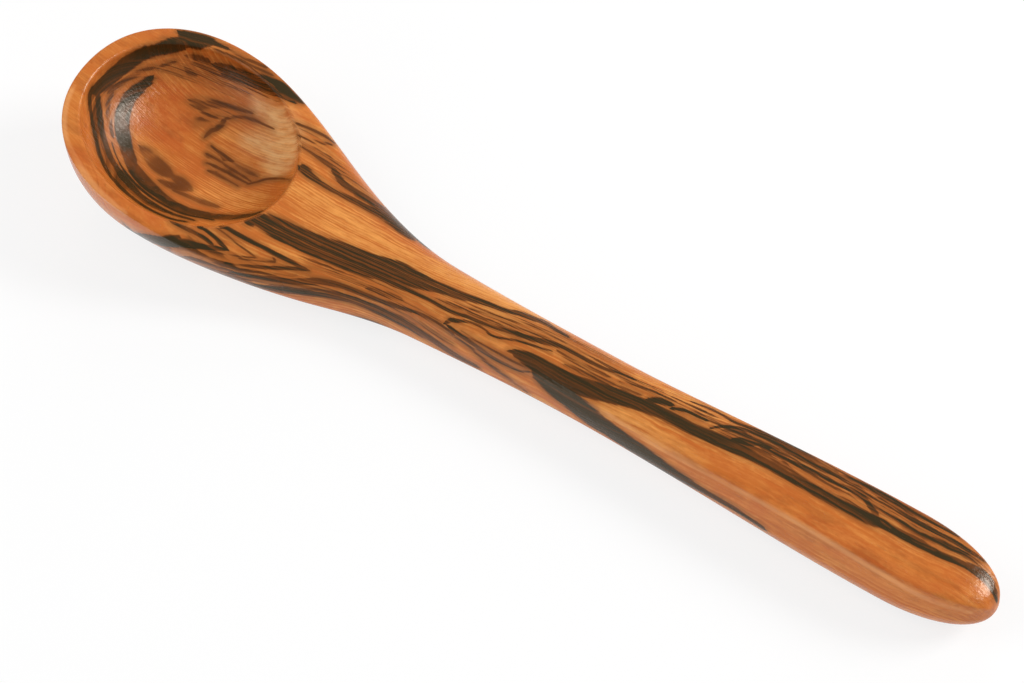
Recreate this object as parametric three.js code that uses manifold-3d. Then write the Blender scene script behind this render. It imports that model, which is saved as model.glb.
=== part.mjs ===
// A wooden egg spoon, carved from one length of wood.
// Sizes are millimetres. The spoon lies on z = 0 with its length along x and the tip of the head at -x.

import * as THREE from 'three';
import { mergeVertices } from 'three/addons/utils/BufferGeometryUtils.js';
import Module from 'manifold-3d';

// Whole spoon, from the tip of the head to the end of the handle.
const spoonLength = 130;

// Head: an oval hollow with an even rim round it, tipped up towards the front.
const hollowLength = 28;
const hollowWidth = 24.5;
const hollowDepth = 7.4;
const rimWidth = 1.9;
const floorThickness = 4.7;
const headTilt = THREE.MathUtils.degToRad(11);
const rimRounding = 0.4;
const restFlatDepth = 0.25;

// Shoulder, where the head has run down into the handle.
const shoulderAt = 52;
const shoulderWidth = 10.4;

// Neck, the thinnest place.
const neckAt = 75;
const neckWidth = 8.9;
const neckThickness = 6.8;
const neckUnderside = 1.2;

// Grip, the widest place of the handle, and the rounded end behind it.
const gripFromEnd = 15;
const gripWidth = 11.2;
const gripThickness = 8.5;
const endLength = 13;

// Depth of the widest line of the side below the top, and where it first lies that deep.
const sideDepth = 4.2;
const sideDepthAt = 40;

// Fullness of the rounded forms: 2 is an ellipse, more is squarer.
const headOutlineFullness = 2.2;
const endOutlineFullness = 2.1;
const topFullness = 3;
const undersideFullness = 2.2;
const rimFullness = 6;
const endTopFullness = 2.8;
const hollowOutwardFullness = 2.4;
const hollowDownwardFullness = 1.5;

// Top of the grip: a low crown that meets steep flanks in a soft ridge.
const crownFall = 0.2;
const flankSteepness = 5.5;
const ridgeSharpness = 10;

// Fineness of the facets.
const frontSteps = 14;
const middleSteps = 34;
const endSteps = 10;
const sideSteps = 20;
const hollowSteps = 12;
const hollowSegments = 56;

// Room that a cutting solid keeps beyond the wood it cuts.
const cutterRoom = 5;

// Places along the spoon, counted from the tip of the head.
const headAt = rimWidth + (hollowLength / 2) * Math.cos(headTilt);
const rimBackAt = 2 * headAt;
const gripAt = spoonLength - gripFromEnd;
const endAt = spoonLength - endLength;

// Half widths and heights at those places.
const headHalfWidth = hollowWidth / 2 + rimWidth;
const headHeight = hollowDepth * Math.cos(headTilt) + floorThickness;
const rimFall = Math.tan(headTilt);
const rimBackHeight = headHeight - rimFall * (rimBackAt - headAt);
const neckTop = neckUnderside + neckThickness;

// How much of its full size a rounded end keeps, from 1 where it starts to 0 at its tip.
function roundedEnd(part, fullness) {
  const reach = THREE.MathUtils.clamp(part, 0, 1);
  return Math.pow(1 - Math.pow(reach, fullness), 1 / fullness);
}

// A smooth curve through stations [place, value, slope], level beyond the first and the last.
function smoothLine(stations) {
  return (x) => {
    const last = stations.length - 1;
    let i = 0;
    while (i < last - 1 && x > stations[i + 1][0]) i += 1;
    const [x0, v0, m0] = stations[i];
    const [x1, v1, m1] = stations[i + 1];
    const span = x1 - x0;
    const u = THREE.MathUtils.clamp((x - x0) / span, 0, 1);
    const rise = u * u * (3 - 2 * u);
    const leave = u * (1 - u) * (1 - u);
    const arrive = u * u * (u - 1);
    return v0 + (v1 - v0) * rise + span * (m0 * leave + m1 * arrive);
  };
}

// Slope at a place between two others that keeps the curve from overshooting.
function steadySlope(before, here, after) {
  const slopeIn = (here[1] - before[1]) / (here[0] - before[0]);
  const slopeOut = (after[1] - here[1]) / (after[0] - here[0]);
  return slopeIn * slopeOut > 0 ? (2 * slopeIn * slopeOut) / (slopeIn + slopeOut) : 0;
}

const headStation = [headAt, headHalfWidth];
const shoulderStation = [shoulderAt, shoulderWidth / 2];
const neckStation = [neckAt, neckWidth / 2];
const shoulderSlope = steadySlope(headStation, shoulderStation, neckStation);

const halfWidthLine = smoothLine([
  [...headStation, 0],
  [...shoulderStation, shoulderSlope],
  [...neckStation, 0],
  [gripAt, gripWidth / 2, 0],
]);
const topLine = smoothLine([
  [rimBackAt, rimBackHeight, -rimFall],
  [neckAt, neckTop, 0],
  [gripAt, gripThickness, 0],
]);
const undersideLine = smoothLine([
  [headAt, -restFlatDepth, 0],
  [shoulderAt, neckUnderside, 0],
  [neckAt, neckUnderside, 0],
  [gripAt, 0, 0],
]);
const sideDepthLine = smoothLine([
  [headAt, rimRounding, 0],
  [sideDepthAt, sideDepth, 0],
]);

// How much of the ridge there is: none at the neck, all of it halfway to the grip.
const ridgeLine = smoothLine([
  [neckAt, 0, 0],
  [(neckAt + gripAt) / 2, 1, 0],
]);

// Height of the top above the widest line, from 1 in the middle to 0 at the side.
function topShare(across, ridge) {
  const round = roundedEnd(across, topFullness);
  const crown = 1 - crownFall * across * across;
  const flank = Math.max(flankSteepness * (1 - across), 1e-6);
  const lesser = Math.pow(crown, -ridgeSharpness) + Math.pow(flank, -ridgeSharpness);
  const ridged = Math.pow(lesser, -1 / ridgeSharpness);
  return round + (ridged - round) * ridge;
}

// The four sizes of the cross-section at a place along the spoon.
function sectionAt(x) {
  const front = (headAt - x) / headAt;
  const end = (x - endAt) / endLength;
  const outline = roundedEnd(front, headOutlineFullness) * roundedEnd(end, endOutlineFullness);
  const top = x < rimBackAt ? headHeight - rimFall * (x - headAt) : topLine(x);
  const side = top - sideDepthLine(x);
  const above = roundedEnd(front, rimFullness) * roundedEnd(end, endTopFullness);
  const below = roundedEnd(front, undersideFullness) * roundedEnd(end, undersideFullness);
  return {
    halfWidth: halfWidthLine(x) * outline,
    side,
    rise: (top - side) * above,
    drop: (side - undersideLine(x)) * below,
  };
}

// One closed ring of points round the wood: over the top from +y to -y, then back underneath.
function ringAt(x) {
  const { halfWidth, side, rise, drop } = sectionAt(x);
  const ring = [];
  for (let i = 0; i < 2 * sideSteps; i += 1) {
    const turn = (Math.PI * i) / sideSteps;
    const onTop = i <= sideSteps;
    const power = 2 / (onTop ? topFullness : undersideFullness);
    const across = Math.sign(Math.cos(turn)) * Math.pow(Math.abs(Math.cos(turn)), power);
    const under = Math.pow(Math.abs(Math.sin(turn)), power);
    const height = onTop ? rise * topShare(Math.abs(across), ridgeLine(x)) : -drop * under;
    ring.push([x - spoonLength / 2, halfWidth * across, side + height]);
  }
  return ring;
}

// Places of the rings, closer together towards the two rounded ends.
function ringPlaces() {
  const places = [];
  for (let i = 1; i <= frontSteps; i += 1) {
    places.push(headAt * (1 - Math.cos((Math.PI / 2) * (i / frontSteps))));
  }
  for (let i = 1; i < middleSteps; i += 1) {
    places.push(headAt + (endAt - headAt) * (i / middleSteps));
  }
  for (let i = 0; i < endSteps; i += 1) {
    places.push(endAt + endLength * Math.sin((Math.PI / 2) * (i / endSteps)));
  }
  return places;
}

// The outside of the spoon before the hollow is cut.
function blankGeometry() {
  const rings = ringPlaces().map(ringAt);
  const count = 2 * sideSteps;
  const tip = [-spoonLength / 2, 0, sectionAt(0).side];
  const tail = [spoonLength / 2, 0, sectionAt(spoonLength).side];
  const points = [tip, ...rings.flat(), tail];
  const faces = [];
  for (let j = 0; j < count; j += 1) {
    const next = (j + 1) % count;
    faces.push(0, 1 + next, 1 + j);
    for (let i = 0; i + 1 < rings.length; i += 1) {
      const a = 1 + i * count;
      const b = a + count;
      faces.push(a + j, b + next, b + j);
      faces.push(a + j, a + next, b + next);
    }
    const lastRing = 1 + (rings.length - 1) * count;
    faces.push(lastRing + j, lastRing + next, points.length - 1);
  }
  const geometry = new THREE.BufferGeometry();
  geometry.setAttribute('position', new THREE.Float32BufferAttribute(points.flat(), 3));
  geometry.setIndex(faces);
  return geometry;
}

// The solid that is taken out of the head, square to the tipped rim.
function hollowGeometry() {
  const profile = [];
  for (let i = 0; i <= hollowSteps; i += 1) {
    const turn = (Math.PI / 2) * (i / hollowSteps);
    const outward = Math.pow(Math.sin(turn), 2 / hollowOutwardFullness);
    const down = i < hollowSteps ? Math.pow(Math.cos(turn), 2 / hollowDownwardFullness) : 0;
    profile.push(new THREE.Vector2(outward, -hollowDepth * down));
  }
  profile.push(new THREE.Vector2(1, cutterRoom));
  profile.push(new THREE.Vector2(0, cutterRoom));
  const geometry = new THREE.LatheGeometry(profile, hollowSegments);
  geometry.rotateX(Math.PI / 2);
  geometry.scale(hollowLength / 2, hollowWidth / 2, 1);
  geometry.rotateY(headTilt);
  geometry.translate(headAt - spoonLength / 2, 0, headHeight);
  return geometry;
}

// The solid below the table, which leaves the flat that the head rests on.
function tableGeometry() {
  const geometry = new THREE.BoxGeometry(spoonLength, 2 * headHalfWidth, cutterRoom);
  geometry.translate(0, 0, -cutterRoom / 2);
  return geometry;
}

const wasm = await Module();
wasm.setup();

function solidFrom(geometry) {
  const bare = geometry.clone();
  bare.deleteAttribute('normal');
  bare.deleteAttribute('uv');
  const merged = mergeVertices(bare, 1e-4);
  const vertProperties = new Float32Array(merged.attributes.position.array);
  const triVerts = new Uint32Array(merged.index.array);
  return new wasm.Manifold(new wasm.Mesh({ numProp: 3, vertProperties, triVerts }));
}

function geometryFrom(solid) {
  const mesh = solid.getMesh();
  const geometry = new THREE.BufferGeometry();
  geometry.setAttribute('position', new THREE.Float32BufferAttribute(mesh.vertProperties, 3));
  geometry.setIndex(Array.from(mesh.triVerts));
  geometry.computeVertexNormals();
  return geometry;
}

const hollowed = solidFrom(blankGeometry()).subtract(solidFrom(hollowGeometry()));
const carved = hollowed.subtract(solidFrom(tableGeometry()));

const oliveWood = new THREE.MeshStandardMaterial({ color: 0xb9712f, roughness: 0.45, metalness: 0 });
const spoon = new THREE.Mesh(geometryFrom(carved), oliveWood);
spoon.name = 'spoon';

const part = new THREE.Group();
part.name = 'egg_spoon';
part.add(spoon);

export default part;
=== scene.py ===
# %% [markdown]
# # A wooden egg spoon
#
# This lesson dresses one carved spoon of olive wood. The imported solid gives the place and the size.
# The finer mesh that is made here takes its place in the picture, because a solid with flat facets
# can't show the soft rim, the smooth hollow and the grain that runs through the wood.

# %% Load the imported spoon
import math

import bmesh
import bpy
import numpy as np
from mathutils import Matrix, Vector
from mathutils.bvhtree import BVHTree


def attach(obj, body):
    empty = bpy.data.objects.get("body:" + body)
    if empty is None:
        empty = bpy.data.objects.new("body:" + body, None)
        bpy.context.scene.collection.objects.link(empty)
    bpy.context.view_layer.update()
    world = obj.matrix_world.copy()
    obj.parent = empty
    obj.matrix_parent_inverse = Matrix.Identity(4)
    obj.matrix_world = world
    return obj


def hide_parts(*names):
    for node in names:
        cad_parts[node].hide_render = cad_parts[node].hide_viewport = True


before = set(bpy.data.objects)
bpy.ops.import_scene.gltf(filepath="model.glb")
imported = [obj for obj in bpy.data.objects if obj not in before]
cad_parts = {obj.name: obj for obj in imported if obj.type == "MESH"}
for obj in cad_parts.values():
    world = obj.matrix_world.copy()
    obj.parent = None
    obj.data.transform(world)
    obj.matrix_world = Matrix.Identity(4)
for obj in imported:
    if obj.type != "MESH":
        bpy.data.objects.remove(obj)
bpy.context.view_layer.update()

# %% [markdown]
# ## The sizes of the spoon
#
# A spoon is easiest to think of as a few places along its length: the middle of the head, the
# shoulder, the neck, the grip and the end. Each place has a width, a top and an underside. All sizes
# are in millimetres and are counted from the tip of the head; the mesh is scaled to metres at the end.

# %% Sizes in millimetres
MM = 0.001
SPOON_LENGTH = 130.0

HOLLOW_LENGTH = 28.0
HOLLOW_WIDTH = 24.5
HOLLOW_DEPTH = 7.4
RIM_WIDTH = 1.9
FLOOR_THICKNESS = 4.7
HEAD_TILT = math.radians(11.0)
RIM_ROUNDING = 0.4
REST_FLAT_DEPTH = 0.25

SHOULDER_AT = 52.0
SHOULDER_WIDTH = 10.4
NECK_AT = 75.0
NECK_WIDTH = 8.9
NECK_THICKNESS = 6.8
NECK_UNDERSIDE = 1.2
GRIP_FROM_END = 15.0
GRIP_WIDTH = 11.2
GRIP_THICKNESS = 8.5
END_LENGTH = 13.0
SIDE_DEPTH = 4.2
SIDE_DEPTH_AT = 40.0

HEAD_AT = RIM_WIDTH + HOLLOW_LENGTH / 2 * math.cos(HEAD_TILT)
RIM_BACK_AT = 2 * HEAD_AT
GRIP_AT = SPOON_LENGTH - GRIP_FROM_END
END_AT = SPOON_LENGTH - END_LENGTH
HEAD_HALF_WIDTH = HOLLOW_WIDTH / 2 + RIM_WIDTH
HEAD_HEIGHT = HOLLOW_DEPTH * math.cos(HEAD_TILT) + FLOOR_THICKNESS
RIM_FALL = math.tan(HEAD_TILT)
NECK_TOP = NECK_UNDERSIDE + NECK_THICKNESS
print(f"head {2 * HEAD_HALF_WIDTH:.1f} mm wide, rim {HEAD_HEIGHT:.1f} mm above the table")

# %% [markdown]
# ## The carved outside
#
# The outside could be modelled by hand from a box, but a formula keeps both sides alike and follows
# the solid closely. Smooth lines run through the places above: one for the half width, one for the
# top, one for the underside, one for the depth of the widest line of the side and one for the ridge.

# %% Lines along the spoon
def smooth_line(stations):
    """A smooth curve through (place, value, slope), level beyond the first and the last."""
    places, values, slopes = (np.array(column, float) for column in zip(*stations))

    def line(x):
        i = np.clip(np.searchsorted(places, x) - 1, 0, len(places) - 2)
        span = places[i + 1] - places[i]
        u = np.clip((x - places[i]) / span, 0.0, 1.0)
        rise = u * u * (3 - 2 * u)
        leave = u * (1 - u) ** 2
        arrive = u * u * (u - 1)
        bend = span * (slopes[i] * leave + slopes[i + 1] * arrive)
        return values[i] + (values[i + 1] - values[i]) * rise + bend

    return line


slope_in = (SHOULDER_WIDTH / 2 - HEAD_HALF_WIDTH) / (SHOULDER_AT - HEAD_AT)
slope_out = (NECK_WIDTH - SHOULDER_WIDTH) / 2 / (NECK_AT - SHOULDER_AT)
shoulder_slope = 2 * slope_in * slope_out / (slope_in + slope_out)
rim_back_height = HEAD_HEIGHT - RIM_FALL * (RIM_BACK_AT - HEAD_AT)

half_width_line = smooth_line([
    (HEAD_AT, HEAD_HALF_WIDTH, 0),
    (SHOULDER_AT, SHOULDER_WIDTH / 2, shoulder_slope),
    (NECK_AT, NECK_WIDTH / 2, 0),
    (GRIP_AT, GRIP_WIDTH / 2, 0),
])
top_line = smooth_line([
    (RIM_BACK_AT, rim_back_height, -RIM_FALL),
    (NECK_AT, NECK_TOP, 0),
    (GRIP_AT, GRIP_THICKNESS, 0),
])
underside_line = smooth_line([
    (HEAD_AT, -REST_FLAT_DEPTH, 0),
    (SHOULDER_AT, NECK_UNDERSIDE, 0),
    (NECK_AT, NECK_UNDERSIDE, 0),
    (GRIP_AT, 0, 0),
])
side_depth_line = smooth_line([(HEAD_AT, RIM_ROUNDING, 0), (SIDE_DEPTH_AT, SIDE_DEPTH, 0)])
ridge_line = smooth_line([(NECK_AT, 0, 0), ((NECK_AT + GRIP_AT) / 2, 1, 0)])
print(f"shoulder slope {shoulder_slope:.3f}, back of the rim {rim_back_height:.2f} mm high")

# %% [markdown]
# At each place the cross-section is a squared-off oval: rather flat on top, rounder below. Along the
# grip the top is a low crown that meets steep flanks in a soft ridge. The two ends close like the end
# of an egg.

# %% Cross-sections
TOP_FULLNESS = 3.0
UNDERSIDE_FULLNESS = 2.2
HEAD_OUTLINE_FULLNESS = 2.2
END_OUTLINE_FULLNESS = 2.1
RIM_FULLNESS = 6.0
END_TOP_FULLNESS = 2.8
CROWN_FALL = 0.2
FLANK_STEEPNESS = 5.5
RIDGE_SHARPNESS = 10.0
TINY = 1e-6


def rounded_end(part, fullness):
    """What is left of a rounded end's size, from 1 where it starts to 0 at its tip."""
    reach = np.clip(part, 0.0, 1.0)
    return (1.0 - reach**fullness) ** (1.0 / fullness)


def top_share(across, ridge):
    """Height of the top above the widest line, from 1 in the middle to 0 at the side."""
    round_top = rounded_end(across, TOP_FULLNESS)
    crown = 1 - CROWN_FALL * across**2
    flank = np.maximum(FLANK_STEEPNESS * (1 - across), TINY)
    ridged = (crown**-RIDGE_SHARPNESS + flank**-RIDGE_SHARPNESS) ** (-1 / RIDGE_SHARPNESS)
    return round_top + (ridged - round_top) * ridge


def section(x):
    """Half width, height of the widest line, rise above it and drop below it."""
    front = (HEAD_AT - x) / HEAD_AT
    end = (x - END_AT) / END_LENGTH
    outline = rounded_end(front, HEAD_OUTLINE_FULLNESS) * rounded_end(end, END_OUTLINE_FULLNESS)
    top = np.where(x < RIM_BACK_AT, HEAD_HEIGHT - RIM_FALL * (x - HEAD_AT), top_line(x))
    side = top - side_depth_line(x)
    rise = (top - side) * rounded_end(front, RIM_FULLNESS) * rounded_end(end, END_TOP_FULLNESS)
    below = rounded_end(front, UNDERSIDE_FULLNESS) * rounded_end(end, UNDERSIDE_FULLNESS)
    return half_width_line(x) * outline, side, rise, (side - underside_line(x)) * below


def share_across(y, half_width):
    """Way out from the middle line, as a share of the half width."""
    return np.clip(np.abs(y) / np.maximum(half_width, TINY), 0, 1)


def top_height(x, y):
    """Height of the top of the wood before the hollow is cut."""
    half_width, side, rise, _ = section(x)
    return side + rise * top_share(share_across(y, half_width), ridge_line(x))


def underside_height(x, y):
    """Height of the underside, which is flat where it rests on the table."""
    half_width, side, _, drop = section(x)
    low = side - drop * rounded_end(share_across(y, half_width), UNDERSIDE_FULLNESS)
    return np.maximum(low, 0.0)


for name, place in (("head", HEAD_AT), ("neck", NECK_AT), ("grip", GRIP_AT)):
    print(f"{name}: half width {float(section(np.array(place))[0]):.2f} mm")

# %% [markdown]
# ## Rows of points
#
# The handle is a row of closed rings. On the head the top half of those rings would cut across the
# rim of the hollow in steps, so there the top is woven differently: rings that follow the rim, from
# the outer edge inwards, over a small rounding and down the wall to the middle of the floor.

# %% Rings of the handle and of the head's underside
PATCH_BACK_AT = 36.0
FRONT_STEPS = 70
SIDE_STATIONS = 60
HANDLE_STEPS = 205
END_STEPS = 26
TOP_STEPS = 96
UNDER_STEPS = 84
FINE_TURNS = 500


def even_steps(curve, count):
    """The same curve as count even steps, ends kept."""
    run = np.linalg.norm(np.diff(curve, axis=0), axis=1)
    length = np.concatenate([[0.0], np.cumsum(run)])
    at = np.linspace(0.0, length[-1], count + 1)
    return np.stack([np.interp(at, length, curve[:, axis]) for axis in range(3)], axis=1)


def half_ring(x, on_top, steps):
    """Over the top from +y to -y, or under the wood from -y to +y."""
    half_width, side, rise, drop = (float(v) for v in section(np.array(x)))
    turn = np.linspace(0.0, math.pi, FINE_TURNS)
    power = 2 / (TOP_FULLNESS if on_top else UNDERSIDE_FULLNESS)
    share = np.abs(np.cos(turn)) ** power
    y = np.sign(np.cos(turn)) * share * half_width * (1 if on_top else -1)
    over = rise * top_share(share, ridge_line(np.array(x)))
    under = drop * np.abs(np.sin(turn)) ** power
    z = side + over if on_top else np.maximum(side - under, 0.0)
    return even_steps(np.stack([np.full_like(y, x), y, z], axis=1), steps)


front_places = HEAD_AT * (1 - np.cos(np.linspace(0, math.pi / 2, FRONT_STEPS + 1)[1:]))
side_places = np.linspace(HEAD_AT, PATCH_BACK_AT, SIDE_STATIONS + 1)[1:]
head_places = np.concatenate([front_places, side_places])
shaft_places = np.linspace(PATCH_BACK_AT, END_AT, HANDLE_STEPS + 1)[1:]
end_places = END_AT + END_LENGTH * np.sin(np.linspace(0, math.pi / 2, END_STEPS + 1)[1:-1])
handle_places = np.concatenate([shaft_places, end_places])
print(f"{len(head_places)} places on the head, {len(handle_places)} on the handle")

# %% [markdown]
# Points are numbered in the order in which they are stored, and a face is a list of such numbers. Two
# helpers store a row of points and weave four-sided faces between two rows. The underside of the head
# comes first, then ring after ring of the handle, and each tip closes in a fan.

# %% Weave the handle and the head's underside
points = []
faces = []


def add_points(rows):
    """Stores points and gives back their numbers."""
    first = len(points)
    points.extend(np.asarray(rows).tolist())
    return list(range(first, len(points)))


def weave(row_a, row_b, closed):
    """Quads between two rows with the same number of points."""
    count = len(row_a)
    for i in range(count if closed else count - 1):
        j = (i + 1) % count
        faces.append((row_a[i], row_a[j], row_b[j], row_b[i]))


tip = add_points([(0.0, 0.0, float(section(np.array(0.0))[1]))])[0]
under_rows = [add_points(half_ring(x, False, UNDER_STEPS)) for x in head_places]
for row_a, row_b in zip(under_rows, under_rows[1:]):
    weave(row_a, row_b, False)
for i in range(UNDER_STEPS):
    faces.append((tip, under_rows[0][i], under_rows[0][i + 1]))

neck_top_row = add_points(half_ring(PATCH_BACK_AT, True, TOP_STEPS)[1:-1])
neck_top_row = [under_rows[-1][-1]] + neck_top_row + [under_rows[-1][0]]
ring = neck_top_row + under_rows[-1][1:-1]
for x in handle_places:
    over = half_ring(x, True, TOP_STEPS)
    under = half_ring(x, False, UNDER_STEPS)[1:-1]
    next_ring = add_points(np.concatenate([over, under]))
    weave(ring, next_ring, True)
    ring = next_ring
tail = add_points([(SPOON_LENGTH, 0.0, float(section(np.array(SPOON_LENGTH))[1]))])[0]
for i in range(len(ring)):
    faces.append((ring[i], ring[(i + 1) % len(ring)], tail))
print(f"handle and underside: {len(points)} points, {len(faces)} faces")

# %% [markdown]
# ## The hollow and its rim
#
# The real hollow was cut with a rounded tool square to the tipped rim. Its wall starts steep, bends
# early and runs into a shallow floor. A sharp edge would look like plastic, so the wall and the top
# meet in a small rounding, which is also what catches the light along the rim in the photograph.

# %% Outer edge and edge of the hollow
RIM_EDGE_RADIUS = 0.45

outer_row = neck_top_row + [row[0] for row in under_rows[-2::-1]] + [tip]
outer_row = outer_row + [row[-1] for row in under_rows[:-1]]
outer = np.array([points[i] for i in outer_row])
hollow_half = np.array([HOLLOW_LENGTH / 2, HOLLOW_WIDTH / 2])
plan_half = hollow_half * [math.cos(HEAD_TILT), 1.0]
angle = np.arctan2(outer[:, 1] / plan_half[1], (outer[:, 0] - HEAD_AT) / plan_half[0])
way = np.stack([np.cos(angle), np.sin(angle)], axis=1)


def on_tipped_head(along, across, depth):
    """From places on the tipped rim, and a depth square to it, to the spoon's own x, y and z."""
    x = HEAD_AT + along * math.cos(HEAD_TILT) - depth * math.sin(HEAD_TILT)
    z = HEAD_HEIGHT - along * math.sin(HEAD_TILT) - depth * math.cos(HEAD_TILT)
    return np.stack([x, across + 0 * x, z], axis=1)


edge_start = (hollow_half + RIM_EDGE_RADIUS) * way
start_plan = on_tipped_head(edge_start[:, 0], edge_start[:, 1], 0.0)
plane_drop = start_plan[:, 2] - top_height(start_plan[:, 0], start_plan[:, 1])
edge_drop = plane_drop * math.cos(HEAD_TILT)
print(f"{len(outer_row)} points round the outer edge of the head")

# %% [markdown]
# The rings then move inwards. Beside the head they start close together, because the top bends most at
# its outer edge. Towards the neck they keep an even step, and the two ways blend into each other. The
# same points go on over the rounding and down the wall, so no seam shows at the edge of the hollow.

# %% Weave the top, the rim and the hollow
HOLLOW_OUTWARD_FULLNESS = 2.4
HOLLOW_DOWNWARD_FULLNESS = 1.5
RIM_STEPS = 34
RIM_CROWDING = 2.5
NECK_BLENDS = 12
RIM_EDGE_STEPS = 6
WALL_STEPS = 62
WALL_TURNS = 600

to_neck = np.array([1.0 if i in set(neck_top_row) else 0.0 for i in outer_row])
for _ in range(NECK_BLENDS):
    to_neck = (np.roll(to_neck, 1) + to_neck + np.roll(to_neck, -1)) / 3

row = outer_row
for step in range(1, RIM_STEPS):
    t = step / RIM_STEPS
    inward = (to_neck * t + (1 - to_neck) * t**RIM_CROWDING)[:, None]
    plan = outer[:, :2] + (start_plan[:, :2] - outer[:, :2]) * inward
    z = top_height(plan[:, 0], plan[:, 1])
    next_row = add_points(np.column_stack([plan, z]))
    weave(row, next_row, True)
    row = next_row

first_hollow_point = len(points)
for step in range(RIM_EDGE_STEPS + 1):
    bend = math.pi / 2 * step / RIM_EDGE_STEPS
    place = (hollow_half + RIM_EDGE_RADIUS * (1 - math.sin(bend))) * way
    depth = edge_drop + RIM_EDGE_RADIUS * (1 - math.cos(bend))
    next_row = add_points(on_tipped_head(place[:, 0], place[:, 1], depth))
    weave(row, next_row, True)
    row = next_row

turn = np.linspace(math.pi / 2, 0.0, WALL_TURNS)
outward = np.sin(turn) ** (2 / HOLLOW_OUTWARD_FULLNESS)
down = np.abs(np.cos(turn)) ** (2 / HOLLOW_DOWNWARD_FULLNESS)
wall_profile = np.stack([outward * hollow_half.mean(), down * HOLLOW_DEPTH, 0 * turn], axis=1)
wall_profile = even_steps(wall_profile, WALL_STEPS)
wall_top = edge_drop + RIM_EDGE_RADIUS
for out, low, _ in wall_profile[1:-1]:
    place = hollow_half * (out / hollow_half.mean()) * way
    depth = wall_top + (HOLLOW_DEPTH - wall_top) * low / HOLLOW_DEPTH
    next_row = add_points(on_tipped_head(place[:, 0], place[:, 1], depth))
    weave(row, next_row, True)
    row = next_row
middle = add_points(on_tipped_head(np.zeros(1), np.zeros(1), HOLLOW_DEPTH))[0]
for i in range(len(row)):
    faces.append((row[i], row[(i + 1) % len(row)], middle))
print(f"whole spoon: {len(points)} points, {len(faces)} faces")

# %% [markdown]
# ## One mesh
#
# The rows become one closed mesh. Its normals are made to point outwards and it is shaded smooth:
# the roundings are real, so nothing needs a sharp edge.

# %% Make the spoon
wood_points = np.array(points)
row_points = (wood_points - [SPOON_LENGTH / 2, 0, 0]) * MM
spoon_mesh = bpy.data.meshes.new("carved_spoon")
spoon_mesh.from_pydata(row_points.tolist(), [], faces)
spoon = bpy.data.objects.new("carved_spoon", spoon_mesh)
bpy.context.scene.collection.objects.link(spoon)

loom = bmesh.new()
loom.from_mesh(spoon_mesh)
bmesh.ops.recalc_face_normals(loom, faces=loom.faces)
open_edges = sum(len(edge.link_faces) != 2 for edge in loom.edges)
loom.to_mesh(spoon_mesh)
loom.free()
spoon_mesh.polygons.foreach_set("use_smooth", [True] * len(spoon_mesh.polygons))
spoon_mesh.update()
print(f"{len(spoon_mesh.polygons)} faces, {open_edges} open edges")

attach(spoon, "root")
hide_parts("spoon")

# %% [markdown]
# ## The camera
#
# The camera comes before the finish here, because the grain is drawn by reading places off the
# photograph. The rim of the hollow is an oval whose true shape is known, and its slant in the picture
# gives the height of the camera: 56 degrees above the table, about a third of a right angle round from
# the side. A long lens keeps the near end of the handle from growing.

# %% Place the camera
PHOTO_WIDTH = 1024
PHOTO_HEIGHT = 683
CAMERA_AZIMUTH = math.radians(33.5)
CAMERA_ELEVATION = math.radians(56.0)
CAMERA_DISTANCE = 420.0
PIXELS_PER_MM = 8.297
MIDDLE_HEIGHT = 5.0
MIDDLE_PIXEL = (524.2, 347.2)
SENSOR_WIDTH = 36.0

to_right = Vector((math.cos(CAMERA_AZIMUTH), math.sin(CAMERA_AZIMUTH), 0.0))
to_camera = Vector((
    math.sin(CAMERA_AZIMUTH) * math.cos(CAMERA_ELEVATION),
    -math.cos(CAMERA_AZIMUTH) * math.cos(CAMERA_ELEVATION),
    math.sin(CAMERA_ELEVATION),
))
to_top = to_camera.cross(to_right)
aim = Vector((0.0, 0.0, MIDDLE_HEIGHT))
aim -= to_right * ((MIDDLE_PIXEL[0] - PHOTO_WIDTH / 2) / PIXELS_PER_MM)
aim += to_top * ((MIDDLE_PIXEL[1] - PHOTO_HEIGHT / 2) / PIXELS_PER_MM)
camera_place = aim + to_camera * CAMERA_DISTANCE

camera_data = bpy.data.cameras.new("table_camera")
camera_data.sensor_width = SENSOR_WIDTH
camera_data.lens = SENSOR_WIDTH * PIXELS_PER_MM * CAMERA_DISTANCE / PHOTO_WIDTH
camera = bpy.data.objects.new("table_camera", camera_data)
turned = Matrix((to_right, to_top, to_camera)).transposed().to_4x4()
camera.matrix_world = Matrix.Translation(camera_place * MM) @ turned
bpy.context.scene.collection.objects.link(camera)
bpy.context.scene.camera = camera
print(f"lens {camera_data.lens:.1f} mm, camera at {tuple(round(v, 1) for v in camera_place)} mm")
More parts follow.
